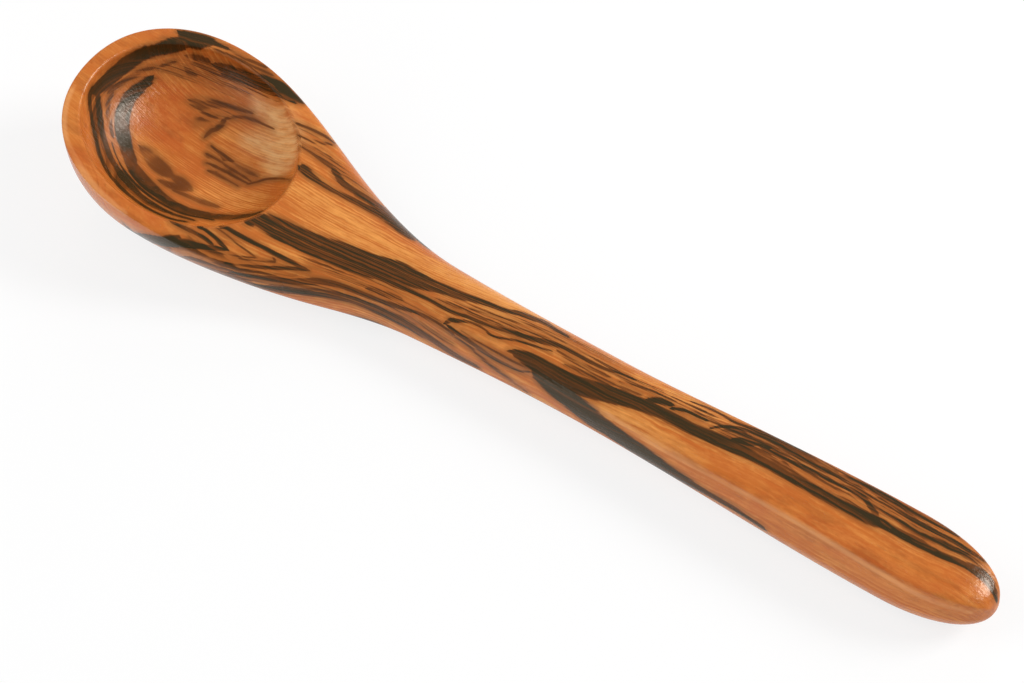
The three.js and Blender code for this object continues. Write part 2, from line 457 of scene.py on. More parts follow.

# %% [markdown]
# ## The figure of the wood
#
# Olive wood is known by its dark veins on an orange ground. Noise alone never gives the broad fork on
# the handle or the rings round the hollow, so the main veins are drawn as strokes. A stroke is a few
# pixels read off the photograph, each with half the vein's width in pixels. A ray from the camera
# carries every stroke onto the wood, where it stays, whatever the view. The nearly black veins come
# first: the rings in the hollow, the patches on its rim and the fork on the handle.

# %% Nearly black veins: x, y, half width in pixels of the photograph
DARK_VEINS = {
    "ring_top": [
        (206, 43, 4), (192, 43, 5), (178, 45, 5.6), (163, 48, 5.8), (148, 51.8, 6.4), (136.5, 57, 7.2),
        (126, 63.8, 7.8), (116, 72, 7.6), (107, 80.5, 7), (100, 86.5, 6), (94, 91, 4),
    ],
    "ring_outer": [
        (93, 89, 2.4), (90, 95, 1.9), (90, 105, 1.8), (91.3, 115, 1.8), (92.9, 124.3, 1.8),
        (95.7, 138.6, 1.8), (100.7, 157, 1.9), (110.7, 175.7, 1.9), (123.6, 190, 1.8),
        (139.3, 202.9, 1.6), (153.6, 211.4, 1.4), (170.7, 218.6, 1.2), (185, 221.5, 1),
    ],
    "ring_third": [
        (98, 90, 2.2), (97.8, 99, 2.7), (98.5, 108, 2.9), (99.5, 117, 2.9), (101.4, 127, 2.9),
        (104.5, 141, 2.9), (109.3, 154, 3), (117.5, 169.5, 3.6), (127.5, 182.5, 3.4),
        (141.5, 196.5, 2.6), (156, 205.5, 1.9), (173, 214, 1.3), (193, 220, 1),
    ],
    "ring_thread": [
        (112, 143, 0.8), (115.5, 154, 1.1), (122.5, 168, 1.2), (132.5, 181, 1.3), (147, 194, 1.3),
        (165, 205.5, 1.2), (185, 214, 1.1), (213, 219.8, 0.9),
    ],
    "ring_under_shine": [
        (152, 77, 2), (147, 82, 4.4), (140, 88, 5.4), (133, 94, 6.2), (127, 102, 7), (123.5, 112, 7.5),
        (122, 122, 7.5), (122.5, 132, 7.5), (125, 143, 6.8), (129.5, 153, 5.6), (134, 161, 4),
    ],
    "rim_patch": [
        (181, 33, 3), (187, 37, 6), (197, 40, 7), (207, 41, 5), (214, 43, 2.5), (228, 49, 1.4),
    ],
    "rim_far": [(268, 80, 1.5), (276, 83, 3.5), (284, 88, 4.5), (291, 95, 3.6), (300, 101, 1.5)],
    "chevron_side": [
        (125, 225, 1), (132, 231, 2), (140, 236, 3.2), (153, 240, 4.3), (166, 242, 4.6),
        (180, 243.5, 4.2), (194, 245.5, 3.3), (210, 247.5, 2.2), (220, 248.7, 1.6), (227, 249.7, 1),
    ],
    "fork_upper": [
        (508, 351, 1), (514, 352, 2.2), (520, 355, 4.5), (528, 359, 6.5), (536, 364, 8),
        (546, 370, 8.8), (557, 376, 9.2), (568, 381, 9), (580, 385.5, 9), (594, 389.5, 8.8),
        (608, 393.8, 8.4), (622, 398, 7.4), (634, 402.5, 6.3), (643, 405.5, 6.2), (654, 409.5, 6),
        (664, 414, 5.8), (680, 422, 5.6), (697, 431, 5.6), (710, 436.5, 5.8), (722, 441.5, 5.8),
        (733, 447, 5.4), (743, 451.5, 5), (757, 458.5, 4.4), (771, 466, 4.2), (790, 477, 4.2),
        (804, 484.5, 4), (817, 491.5, 4), (830, 498.5, 4), (844, 506, 4.4), (857, 512.5, 4.8),
        (868, 518, 5), (880, 523, 5), (892, 529, 4.2), (905, 536, 4), (918, 542.5, 4), (930, 549, 3.6),
        (942, 555, 3.4), (954, 560, 3.2), (966, 565, 3.4), (976, 570, 4), (984, 576, 4.2),
        (990, 583, 3.6), (994.5, 592, 2.6), (996.5, 600, 1.6),
    ],
    "fork_lower": [
        (536, 372, 5), (545, 381, 6.5), (555, 389.5, 7.5), (566, 398, 8), (576, 406, 8),
        (587, 415.5, 7.5), (598, 423, 7), (609, 430, 6.5), (622, 439.5, 6), (634, 448, 5.8),
        (645, 455.5, 5.4), (657, 464, 5), (668, 471, 4.4), (682, 479, 3.6), (696, 487, 2.8),
        (714, 497, 2.2), (734, 508.5, 2), (750, 519, 1.6), (764, 529, 1.2),
    ],
    "fork_web": [(546, 379, 5), (556, 386, 6), (566, 392, 5.5), (576, 399, 3.5), (584, 405, 1.5)],
    "fork_knob": [(646, 401, 2), (653, 400.5, 2.8), (662, 401.5, 3), (671, 404.5, 2)],
    "fork_thread": [
        (672, 408.5, 1.4), (680, 409.3, 1.3), (689, 412, 1.3), (697, 416, 1.2), (707, 420.5, 1),
    ],
    "fork_spur": [
        (728, 442, 2), (736, 440.5, 2.8), (743, 441, 3), (751, 443.5, 2.4), (759, 444.5, 1.3),
        (770, 448, 1),
    ],
}
print(len(DARK_VEINS), "nearly black veins")

# %% [markdown]
# A striped vein has dark and brown lines side by side, like the band along the neck. It is drawn as one
# broad stroke, and the material breaks it up into lines later, because drawing each line by hand would
# take hundreds of strokes.

# %% Striped veins: x, y, half width in pixels of the photograph
STRIPED_VEINS = {
    "ring_inner": [
        (124.3, 143, 6.4), (127.9, 155.7, 6.4), (134.3, 168.6, 6.4), (145.7, 182.9, 6.2),
        (159.3, 194.6, 5), (173.6, 204.6, 4.2), (190.7, 211.6, 3.6), (210.7, 215.9, 3),
        (228, 217.3, 2.6), (244, 216.3, 2), (258, 213.2, 1.4), (268, 210, 1),
    ],
    "far_wall": [
        (214, 64.5, 2), (222, 67.5, 4.4), (234, 71.5, 5.4), (246, 76, 5.4), (257, 80, 5.4),
        (269, 84.5, 5.2), (281, 89.5, 4.8), (292, 96, 4), (301, 101.5, 2),
    ],
    "far_wall_low": [
        (222, 74, 1.2), (232, 77.5, 2.2), (244, 81.5, 2.6), (256, 86, 2.6), (270, 91.5, 2.2),
        (284, 97.5, 1.7), (296, 103, 1),
    ],
    "neck_band": [
        (244, 219, 2), (255, 219, 5), (266, 222, 8), (280, 229.5, 10.4), (295, 236, 10.5),
        (309, 242.5, 11), (324, 248, 11.3), (339, 253, 11.5), (351, 257, 10.5), (362, 260, 9.5),
        (380, 265.5, 9.5), (398, 271, 9.5), (408, 276, 9), (418, 280.5, 8), (431, 285.5, 6),
        (448, 291, 4.4), (463, 296.5, 3.6), (477, 300.5, 3), (491, 305, 2.4), (506, 310.5, 2.2),
        (520, 313.5, 2.4), (534, 318.5, 2.4), (546, 323, 2), (556, 329.3, 1.5), (568, 336.5, 1),
    ],
    "neck_second": [
        (300, 249, 1.5), (318, 256, 2.2), (336, 263, 2.5), (354, 269.5, 2.8), (367, 274, 2.8),
        (380, 278, 2.8), (398, 286, 2.6), (410, 291, 2.2), (420, 295.5, 1.8), (431, 301, 1.7),
        (443, 308, 1.7), (456, 313.6, 1.8), (467, 316.5, 1.8), (477, 320.7, 1.6), (494, 327, 1.6),
        (506, 330.7, 1.8), (520, 335, 2.2), (534, 339.3, 2.6), (548.6, 342.5, 2.7), (563, 347, 2.4),
        (577, 354, 2), (591, 362, 1.8), (607, 369.3, 1.5), (620, 373.5, 1), (635, 380, 0.9),
    ],
    "shoulder_upper": [
        (333, 169, 1.5), (336, 173, 3), (343, 183, 3.2), (351.5, 189.5, 2.8), (364, 197, 3.2),
        (376, 204.5, 2.8), (387, 211.5, 2.8), (398.5, 221.5, 3.6), (410, 232, 3.6), (419, 240.5, 2.2),
        (428, 248, 1.2),
    ],
    "shoulder_lower": [
        (301, 167, 2.5), (305, 170, 4.4), (310, 175, 3.6), (319, 181.5, 2.6), (329, 188, 2.3),
        (341, 194.3, 2.3), (354, 200.7, 2.8), (369, 208.6, 3.2), (381.5, 215.7, 2.8), (390, 221.5, 3),
        (401, 230, 3), (411, 237.5, 2),
    ],
    "side_main": [
        (253, 285.5, 1.8), (268, 288, 2.2), (282, 290, 3.2), (300, 291.5, 3.8), (318, 293, 4.2),
        (335, 295.5, 4.2), (350, 299, 4), (365, 304, 4.2), (380, 311, 4.4), (395, 318, 4.4),
        (410, 326, 4), (422, 333.5, 3.4), (434, 341, 2.8), (449, 351, 2.2), (463, 359.5, 1.8),
        (477, 366.5, 1.2),
    ],
    "side_upper": [
        (231, 273, 1.6), (250, 276, 2), (268, 278.5, 2.4), (289, 281, 3.2), (310, 281.5, 3.6),
        (325, 282.5, 3.2), (339, 285.5, 2.6), (354, 291, 2.6), (368, 296.5, 2.4), (380, 301, 2.2),
        (395, 306, 2), (410, 310.5, 1.8), (420, 313.6, 1.6), (431, 319.3, 1.5), (443, 326.4, 1.4),
        (454, 335, 1.2),
    ],
    "far_edge": [
        (691, 401.5, 0.8), (703, 406, 0.9), (714, 410.5, 1), (725, 416.5, 1), (734, 422, 1.1),
        (743, 425.5, 1.2), (757, 430.5, 1.5), (769, 436, 2), (784, 443, 2.8), (799, 451, 3),
        (810, 458, 2.8), (819, 464, 2.4), (837, 473, 1.6),
    ],
    "far_edge_second": [
        (711, 428, 0.9), (723, 426.5, 1.3), (736, 427.5, 1.5), (750, 431.5, 1.6), (764, 437, 1.8),
        (779, 445, 2.2), (795, 454, 2.4), (808, 460.5, 2.4), (822, 469, 2.4), (837, 475, 2.4),
        (852, 481, 2.6), (872, 490, 3), (888, 498, 3), (905, 507, 2.8), (917, 513.5, 2.8),
        (928, 519.5, 2.6), (946, 528, 2.2), (958, 535, 1.6),
    ],
    "far_edge_third": [
        (872, 492, 1.6), (884, 499, 2), (893, 504, 2.2), (904, 512, 2.4), (914, 519, 2.4),
        (928, 527.5, 2.4), (940, 533.5, 2.2), (952, 539.5, 2.2), (962, 546.5, 1.8), (972, 554, 1.3),
    ],
    "grip_join": [
        (758, 444, 1.4), (766, 450, 1.8), (787, 460, 2), (810, 470, 2), (824, 477, 2), (837, 483.5, 2),
        (850, 489.5, 2), (860, 495, 2.2), (866, 500, 2.4), (870, 506, 2.6), (876, 514, 3),
    ],
    "chevron_one_top": [
        (172, 221.5, 1.1), (182, 226.5, 1.7), (192, 231.5, 1.9), (205, 238.7, 1.9), (212, 244.5, 1.7),
    ],
    "chevron_one_inner": [
        (193.6, 224.3, 1), (203.6, 228.6, 1.6), (213.6, 236.4, 1.9), (222, 244.3, 1.9), (228, 250, 1),
    ],
    "chevron_two_top": [
        (216, 225, 1.1), (226, 227.5, 1.8), (239, 235, 2.1), (258, 244.5, 2.1), (276, 254, 2.1),
        (293.6, 263, 2), (302, 267.5, 1.7), (309, 270.5, 1),
    ],
    "chevron_two_side": [
        (308, 270, 1.1), (293.6, 268.5, 1.7), (275, 268, 1.8), (258, 267, 1.7), (243.6, 265.7, 1.3),
        (225, 263, 1),
    ],
    "eye_top": [
        (446, 322.5, 1.8), (451.5, 320, 2.4), (457, 320.7, 2), (467, 321.4, 1.5), (477, 325, 1.3),
        (484.5, 329.4, 1.2), (491.5, 335, 1.2), (501.5, 338, 1.1), (513, 340, 1.1), (527, 343.6, 1.1),
        (541.5, 348, 1), (551.5, 351, 0.9),
    ],
    "eye_low": [
        (448.6, 326.4, 1.8), (455.7, 332, 1.9), (464.3, 338, 1.9), (474.3, 345, 1.9),
        (484.3, 352, 1.8), (495.7, 359.3, 1.5), (505.7, 364.3, 1.3), (520, 370.7, 1.1), (530, 372, 1),
    ],
}
print(len(STRIPED_VEINS), "striped veins")

# %% [markdown]
# Brown veins are softer: threads, folds and blotches that never turn black. They fill the space between
# the dark ones, and the fine grain takes its direction from them too.

# %% Brown veins and blotches: x, y, half width in pixels of the photograph
BROWN_VEINS = {
    "ring_gap": [(113, 93, 1.2), (109, 101, 2.2), (108, 112, 2.4), (109.5, 124, 2.4), (113, 136, 1.4)],
    "ring_shade": [
        (108, 93, 1.2), (115, 87, 2.4), (124, 80.5, 3), (135, 74.5, 3), (147, 69.5, 2.2),
        (157, 66.5, 1.2),
    ],
    "fork_curl": [
        (558, 351, 1.4), (572, 360, 2.4), (585, 367, 2.8), (597, 370.5, 2.6), (608, 376, 1.8),
    ],
    "fork_brush": [
        (564, 365, 1.8), (576, 370.5, 3.4), (590, 375.5, 3.6), (602, 380, 3), (614, 384.5, 1.8),
    ],
    "rim_line": [(228, 49, 1.3), (240, 55.6, 1.5), (255, 62.5, 1.5), (266, 67, 1.1)],
    "rim_line_low": [(215, 49, 1), (235, 57.5, 1.2), (252.5, 66, 1.2), (272, 75, 1.1)],
    "wall_brow": [(158, 68, 1.2), (166, 64.5, 2), (175, 62, 1.2)],
    "wall_blotch": [(186, 69, 2), (190, 72.5, 3.4), (195, 75, 2)],
    "wall_haze": [(188, 56, 2.5), (198, 58, 3), (208, 61, 2.5)],
    "ring_fine": [
        (93.5, 97, 1.6), (94.5, 110, 2), (96, 124, 2.2), (99, 140, 2.6), (104, 154, 3.2),
        (112, 169, 3.8), (123, 182, 3.8), (137, 195, 3), (152, 205, 2), (165, 211.5, 1.4),
    ],
    "floor_streak": [
        (189, 100, 1.6), (195, 102.5, 4), (203, 105, 5), (213, 104.5, 4.2), (226, 105.5, 3.2),
        (240, 109, 2.4), (252, 113, 1.4),
    ],
    "floor_arch": [
        (222, 121, 1.4), (227, 118.6, 1.8), (235, 117, 2), (244, 117.5, 2), (254, 120, 1.8),
        (264, 124.5, 1.4), (274, 129, 0.9),
    ],
    "zigzag_a": [(205, 137, 1.4), (209, 133, 2.6), (213, 129.5, 1.8)],
    "zigzag_b": [(213.5, 131.5, 1.4), (218, 128, 2.6), (223, 123, 2.4), (226, 119.5, 1.4)],
    "fan_a": [(211, 146, 1), (225, 156, 1.5), (238, 166, 2.2), (249, 172, 2.4), (257, 176.5, 1.4)],
    "fan_b": [(207, 154, 1.2), (218, 160, 1.5), (230, 168, 1.5), (243, 176, 1.4), (251, 181.5, 1)],
    "fan_c": [(206, 163, 1.2), (217, 167, 1.6), (230, 174, 1.4), (243, 181, 1.2), (248, 183.5, 0.8)],
    "fan_d": [(209, 171, 1.4), (217, 174, 2), (226, 179, 1.4), (238, 186, 1)],
    "fan_fold": [(248, 184, 1), (258, 181.5, 1.2), (267, 179, 1.2), (281, 178.5, 1), (291, 180, 0.8)],
    "blotch": [
        (140.5, 147, 2), (146, 152.5, 5.5), (152, 159.5, 7.6), (157.5, 165, 8), (163.5, 170, 6.8),
        (170, 174.5, 4), (173.5, 177, 3.4), (180, 181.5, 5), (186, 186, 5), (190, 189, 3),
        (192.5, 191, 1),
    ],
    "blotch_foot": [(160.5, 181, 2), (168, 184, 3.4), (176, 187, 4), (185, 189.5, 3)],
    "low_streak": [(174, 190.5, 1.6), (184, 194.5, 2.6), (195, 199, 3), (206, 203, 3), (217, 206.5, 2)],
    "shoulder_a": [(297, 123.5, 1.2), (307, 127, 1.6), (317, 132, 1.6), (327, 137, 1.5), (334, 142, 1)],
    "shoulder_b": [(300, 135.7, 1.6), (308.6, 140, 2.2), (317, 142, 1.8), (331, 144.5, 1.2)],
    "shoulder_c": [(301, 146, 1.4), (313, 154, 1.6), (325.7, 163, 2), (335, 170.5, 1.6)],
    "shoulder_fill": [
        (356, 196, 1.6), (372, 206, 2.4), (386, 215.5, 3), (398, 226, 3.4), (408, 234, 2.4),
    ],
    "chevron_thin": [
        (216, 227.5, 0.8), (226, 234.5, 0.9), (236.4, 243, 0.9), (247, 251, 0.9), (256, 257.5, 0.9),
    ],
    "chevron_thin_back": [
        (256, 257.7, 0.9), (245, 257.2, 0.9), (233.6, 255.7, 0.9), (221, 253.5, 0.9),
        (209, 251.4, 0.8),
    ],
    "chevron_dart": [
        (273.5, 258.5, 1.1), (274.5, 261.5, 1.2), (263, 261.5, 0.9), (251, 260, 0.9),
        (238, 258.5, 0.8),
    ],
    "side_low_a": [
        (160, 248, 1.2), (180, 255, 1.6), (200, 261.5, 1.8), (225, 266, 1.8), (250, 270.5, 1.8),
        (275, 274, 1.8), (297, 276, 1.6),
    ],
    "side_low_b": [(185, 262, 1.2), (208, 269, 1.4), (230, 277, 1.6), (243, 281, 1.6), (256, 285, 1.4)],
    "neck_patch": [(368, 289, 2), (380, 292, 3), (392, 296, 3), (402, 300, 1.6)],
    "eye_low_line": [
        (461, 330.7, 0.9), (477, 340.7, 1), (491.5, 349.3, 1), (506, 358, 1), (520, 365, 1),
        (529, 369.5, 0.9),
    ],
    "side_thread": [
        (454, 335, 1), (470, 347, 1.1), (477, 354, 1.1), (491.5, 366, 1.2), (505.7, 377, 1.2),
        (526, 391, 1),
    ],
    "neck_line_a": [
        (470, 309, 1), (490, 314, 1.2), (510, 320, 1.2), (530, 326, 1.3), (550, 335, 1.3),
        (566, 343, 1),
    ],
    "neck_line_b": [(500, 322, 0.9), (520, 329, 1), (540, 335.5, 1.1), (556, 340, 1)],
    "wisp_a": [(613, 384, 0.9), (628, 390, 1.1), (640, 395, 1.1)],
    "wisp_b": [(620, 381, 0.9), (640, 387, 1), (660, 394, 1), (676, 401, 0.9)],
    "wisp_c": [(672, 397, 0.9), (690, 405, 1), (706, 412, 1)],
    "wisp_d": [(723, 430, 1), (740, 433, 1.4), (757, 440, 1.4), (771, 447, 1.2)],
    "wisp_e": [
        (881, 509, 1.4), (890, 514, 1.8), (899, 519.5, 2), (916, 531, 2), (928, 537, 2),
        (940, 542.5, 2), (957, 551, 1.8), (974, 555, 1.4), (985, 561, 1),
    ],
}
print(len(BROWN_VEINS), "brown veins and blotches")

# %% [markdown]
# Zones are broad strokes with a soft edge. They draw no line of their own but say what the wood is like
# in a place: busy or lively with fine lines, or calm.

# %% Busy, lively and calm zones: x, y, half width in pixels of the photograph
BUSY_ZONES = {
    "side": [
        (150, 248, 3), (190, 256, 8), (230, 270, 9), (270, 280, 9), (310, 287, 8), (340, 292, 7),
        (370, 302, 6), (400, 314, 5), (430, 331, 4), (452, 344, 2),
    ],
    "grip_far": [
        (712, 420, 2), (740, 436, 6), (780, 456, 12), (820, 477, 15), (860, 497, 16), (900, 517, 16),
        (930, 533, 14), (955, 547, 11), (975, 558, 7),
    ],
    "wall_far": [
        (196, 63, 3), (206, 65, 6), (218, 67.5, 9), (232, 70.5, 9), (255, 79, 9), (280, 90, 7),
        (296, 99, 4),
    ],
}
LIVELY_ZONES = {
    "fan": [(210, 156, 5), (226, 166, 8), (242, 175, 7), (258, 178, 4)],
    "floor_soft": [(196, 124, 4), (206, 118, 8), (222, 114, 5), (240, 113, 3)],
    "top_wall": [(150, 74, 4), (168, 70, 7), (186, 72, 7), (206, 78, 5), (230, 87, 4), (248, 94, 3)],
    "neck_right": [
        (440, 302, 5), (480, 314, 8), (510, 324, 9), (540, 334, 9), (570, 346, 8), (600, 362, 7),
        (640, 384, 5), (680, 400, 4), (710, 415, 5),
    ],
    "shoulder": [(303, 135, 6), (320, 148, 7), (335, 165, 6), (360, 190, 5), (385, 212, 5)],
    "chevrons": [(192, 237, 3), (205, 242, 3), (216, 250, 3), (245, 262, 3)],
    "neck_low": [(300, 262, 4), (330, 270, 5), (365, 284, 6), (400, 300, 4), (435, 318, 3)],
}
CALM_ZONES = {
    "rim": [
        (170, 34, 8), (140, 42, 9), (110, 60, 10), (88, 83, 11), (76, 110, 11), (75, 135, 11),
        (82, 160, 11), (96, 183, 11), (115, 205, 12), (138, 223, 10), (160, 230, 5),
    ],
    "floor": [(150, 105, 6), (170, 112, 14), (178, 130, 14), (172, 146, 8)],
    "grip": [
        (660, 440, 4), (710, 470, 11), (770, 505, 17), (830, 540, 21), (890, 570, 22), (940, 593, 22),
        (985, 598, 16),
    ],
}
print(len(BUSY_ZONES), "busy,", len(LIVELY_ZONES), "lively and", len(CALM_ZONES), "calm zones")

# %% [markdown]
# Other zones change the colour: pale and red wood, with painted light on the back of the floor and the
# lower side of the neck; the dry and chalky back of the hollow, with painted light and sheen on it; and
# painted highlights along the edge of the rim and the ridge of the grip.

# %% Pale and lit, chalk and sheen, red, painted highlights: x, y, half width in pixels of the photograph
PALE_AND_LIT_ZONES = {
    "grip_start": [(604, 409, 2), (622, 419, 6), (645, 432, 8), (672, 447, 6), (700, 462, 3)],
    "neck_honey": [
        (288, 188, 4), (306, 199, 9), (320, 206, 12), (345, 219, 15), (375, 238, 14), (405, 255, 12),
        (440, 273, 9), (480, 292, 7), (520, 308, 5), (560, 326, 3),
    ],
    # Painted light: floor_back is paler where light falls on the back of the floor.
    "floor_back": [
        (224, 138, 4), (240, 141, 8), (256, 144, 13), (270, 140, 16), (280, 150, 14), (276, 164, 9),
    ],
    "floor_low": [(196, 194, 3), (215, 197, 5), (240, 200, 6), (262, 196, 4)],
    "chevron_gaps": [(232, 248, 2), (256, 250, 1), (280, 250, 3), (300, 260, 3)],
    # Painted light: neck_side is paler where light from the table falls on the lower side of the neck.
    "neck_side": [
        (400, 338, 3), (440, 360, 5), (480, 374, 7), (515, 390, 6), (540, 405, 5), (570, 424, 3),
    ],
    "far_rim": [(690, 405, 3), (720, 421, 3), (660, 388, 3), (640, 378, 3)],
}
# Painted light and sheen on the back wall of the hollow and the floor in front of it, over their pale end
# grain.
CHALK_AND_SHEEN_ZONES = {
    "floor_light": [(248, 140, 2), (262, 143, 6), (274, 150, 7), (272, 160, 4)],
    "back_wall": [
        (258, 106, 4), (270, 113, 7), (281, 122, 10), (287, 134, 10), (288, 147, 11), (285, 158, 9),
        (277, 168, 5),
    ],
}
RED_ZONES = {
    "rim_red": [(78, 150, 4), (86, 170, 7), (100, 190, 9), (120, 209, 9), (142, 222, 6)],
    "floor_left": [(150, 115, 6), (165, 105, 12), (175, 130, 12), (165, 140, 8)],
    "wall_red": [(160, 84, 4), (176, 90, 6), (190, 92, 4)],
    "grip_red": [(760, 505, 6), (830, 540, 8), (900, 575, 8), (930, 590, 6)],
}
# Painted highlights: pale lines along the outer edge of the rim and along the ridge of the grip.
PAINTED_EDGE_HIGHLIGHTS = {
    "rim_edge": [
        (74, 86, 0.6), (68, 98, 1.2), (64.6, 112, 1.6), (63.8, 126, 1.6), (66, 140, 1.6),
        (71.5, 152, 1.8), (80, 167, 2), (88, 179, 2.2), (100, 193, 2.2), (114, 205.5, 2),
        (124, 214, 1),
    ],
    "grip_ridge": [
        (606, 412, 0.4), (637, 435, 0.8), (681, 460, 0.9), (725, 483, 1), (757, 500, 1.2),
        (799, 523.5, 1.3), (828, 541, 1.3), (857.5, 559.5, 1.2), (887, 577, 1.1), (916.5, 594, 1),
        (946, 606, 0.8), (972, 613, 0.4),
    ],
}
FIGURE = {
    "dark": DARK_VEINS,
    "striped": STRIPED_VEINS,
    "brown": BROWN_VEINS,
    "busy": BUSY_ZONES,
    "lively": LIVELY_ZONES,
    "pale_and_lit": PALE_AND_LIT_ZONES,
    "chalk_and_sheen": CHALK_AND_SHEEN_ZONES,
    "calm": CALM_ZONES,
    "red": RED_ZONES,
    "painted_highlight": PAINTED_EDGE_HIGHLIGHTS,
}
print({kind: len(strokes) for kind, strokes in FIGURE.items()})

# %% [markdown]
# ## Carry the strokes onto the wood
#
# Each stroke is drawn out into a smooth line of close points, and each point is cast onto the mesh.
# Where the wood slants away from the camera a vein is wider than it looks, so its half width is
# stretched back. Where a line slips from the rim to a wall behind it, it is cut in two.

# %% Cast the strokes
STROKE_STEP = 1.5
MOST_STRETCH = 2.2
LONGEST_JUMP = 1.2
SHORTEST_RUN = 3
SHORTEST_PART = 12

caster = BVHTree.FromPolygons(wood_points.tolist(), [tuple(p.vertices) for p in spoon_mesh.polygons])
eye = camera_place + Vector((SPOON_LENGTH / 2, 0.0, 0.0))
lens_pixels = PIXELS_PER_MM * CAMERA_DISTANCE


def smooth_stroke(corners):
    """A smooth run of close points through the corners of a stroke."""
    corners = np.array(corners, float)
    before = 2 * corners[0] - corners[1]
    after = 2 * corners[-1] - corners[-2]
    padded = np.concatenate([[before], corners, [after]])
    run = []
    for a, b, c, d in zip(padded, padded[1:], padded[2:], padded[3:]):
        count = max(2, int(np.hypot(*(c - b)[:2]) / STROKE_STEP))
        u = np.linspace(0, 1, count, endpoint=False)[:, None]
        curve = 2 * b + (c - a) * u + (2 * a - 5 * b + 4 * c - d) * u**2
        run.append(0.5 * (curve + (3 * b - a - 3 * c + d) * u**3))
    return np.concatenate(run + [corners[-1:]])


def slid(way, ray, normal):
    """A way across the picture, slid along the ray until it lies on the wood."""
    return way - ray * (way.dot(normal) / ray.dot(normal))


def cast(pixels):
    """Points on the wood under pixels of the photograph, and the half widths there, in millimetres."""
    hits = []
    for (px, py, half), (step_x, step_y, _) in zip(pixels, np.gradient(pixels, axis=0)):
        across = (px - PHOTO_WIDTH / 2) / lens_pixels
        up = (PHOTO_HEIGHT / 2 - py) / lens_pixels
        ray = (to_right * across + to_top * up - to_camera).normalized()
        place, normal, _, _ = caster.ray_cast(eye, ray)
        if place is not None:
            way = (to_right * step_x - to_top * step_y).normalized()
            side = slid(way.cross(ray), ray, normal)
            way = slid(way, ray, normal).normalized()
            stretch = min((side - way * side.dot(way)).length, MOST_STRETCH)
            hits.append((*place, half / PIXELS_PER_MM * stretch))
    return np.array(hits).reshape(-1, 4)


def unbroken(run):
    """The parts of a run between jumps from one wall to another."""
    steps = np.linalg.norm(np.diff(run[:, :3], axis=0), axis=1)
    parts = np.split(run, np.nonzero(steps > LONGEST_JUMP)[0] + 1)
    fewest = SHORTEST_PART if len(parts) > 1 else SHORTEST_RUN
    return [part for part in parts if len(part) >= fewest]


runs = {}
for kind, strokes in FIGURE.items():
    lines = [cast(smooth_stroke(stroke)) for stroke in strokes.values()]
    runs[kind] = [part for line in lines for part in unbroken(line)]
print({kind: sum(len(r) for r in group) for kind, group in runs.items()}, "points on the wood")

# %% [markdown]
# ## The underside
#
# A vein is a sheet that runs through the whole thickness of the wood, so a stroke on top also comes out
# below. The photograph doesn't show where. Here it is shifted along and mirrored, because a straight
# copy would look like a print, and that keeps the underside as lively as the top.

# %% Bring the veins out below
TWIN_SHIFT = 3.0
TWIN_SQUEEZE = -0.9
TWIN_END = 122.0


def twin(run):
    """The same vein where it comes out under the wood."""
    run = run[run[:, 0] + TWIN_SHIFT < TWIN_END]
    x = run[:, 0] + TWIN_SHIFT
    y = run[:, 1] * TWIN_SQUEEZE
    return np.column_stack([x, y, underside_height(x, y), run[:, 3]])


for group in runs.values():
    group += [below for below in map(twin, group) if len(below) >= SHORTEST_RUN]
print({kind: len(group) for kind, group in runs.items()}, "runs with their twins below")

# %% [markdown]
# ## Distance to the strokes
#
# What the finish needs at each point is how far it is from the edge of a stroke, below zero inside it.
# Painting the strokes into a picture would tie them to its pixels. A distance changes evenly from
# point to point, so the material can feather it with noise at a much finer scale than the mesh.

# %% Measure the distances
FAR = 3.0
MOST_PAIRS = 2_000_000


def near(run):
    """Numbers of the mesh points that lie near a run, in handy lots."""
    low = run[:, :3].min(axis=0) - FAR
    high = run[:, :3].max(axis=0) + FAR
    close = np.nonzero(np.all((wood_points > low) & (wood_points < high), axis=1))[0]
    return np.array_split(close, max(1, len(close) * len(run) // MOST_PAIRS))


def distance_to(group):
    """Distance in millimetres from every point of the mesh to the nearest stroke's edge."""
    nearest = np.full(len(wood_points), FAR)
    for run in group:
        for some in near(run):
            gap = np.linalg.norm(wood_points[some, None, :] - run[None, :, :3], axis=2)
            nearest[some] = np.minimum(nearest[some], (gap - run[None, :, 3]).min(axis=1))
    return nearest


figure_distance = {kind: distance_to(group) for kind, group in runs.items()}
for kind, distance in figure_distance.items():
    print(kind, f"covers {np.mean(distance < 0):.1%} of the points")

# %% [markdown]
# ## Sides of the veins
#
# Many veins are thinner than the mesh is fine, and a plain distance would break them up into dots. So
# for a vein each point stores on which side of its middle line it lies, and how far: that goes evenly
# through zero, whatever the mesh. It only works for one vein at a time, so veins that come close to
# each other are sorted into different layers.

# %% Sort the veins into layers
VEIN_KINDS = ("dark", "striped", "brown")
LAYER_GAP = 1.7


def apart(run_a, run_b):
    """Whether two runs stay clear of each other."""
    if np.any(run_a[:, :3].min(axis=0) - FAR > run_b[:, :3].max(axis=0)):
        return True
    if np.any(run_b[:, :3].min(axis=0) - FAR > run_a[:, :3].max(axis=0)):
        return True
    gap = np.linalg.norm(run_a[:, None, :3] - run_b[None, :, :3], axis=2)
    return (gap - run_a[:, None, 3] - run_b[None, :, 3]).min() > LAYER_GAP


def sorted_into_layers(group):
    """Lots of runs that stay clear of each other within a lot."""
    layers = []
    for run in group:
        free = (layer for layer in layers if all(apart(run, other) for other in layer))
        layer = next(free, None)
        if layer is None:
            layers.append([run])
        else:
            layer.append(run)
    return layers


vein_runs = {kind: sorted_into_layers(runs[kind]) for kind in VEIN_KINDS}
print({kind: len(layers) for kind, layers in vein_runs.items()}, "layers")

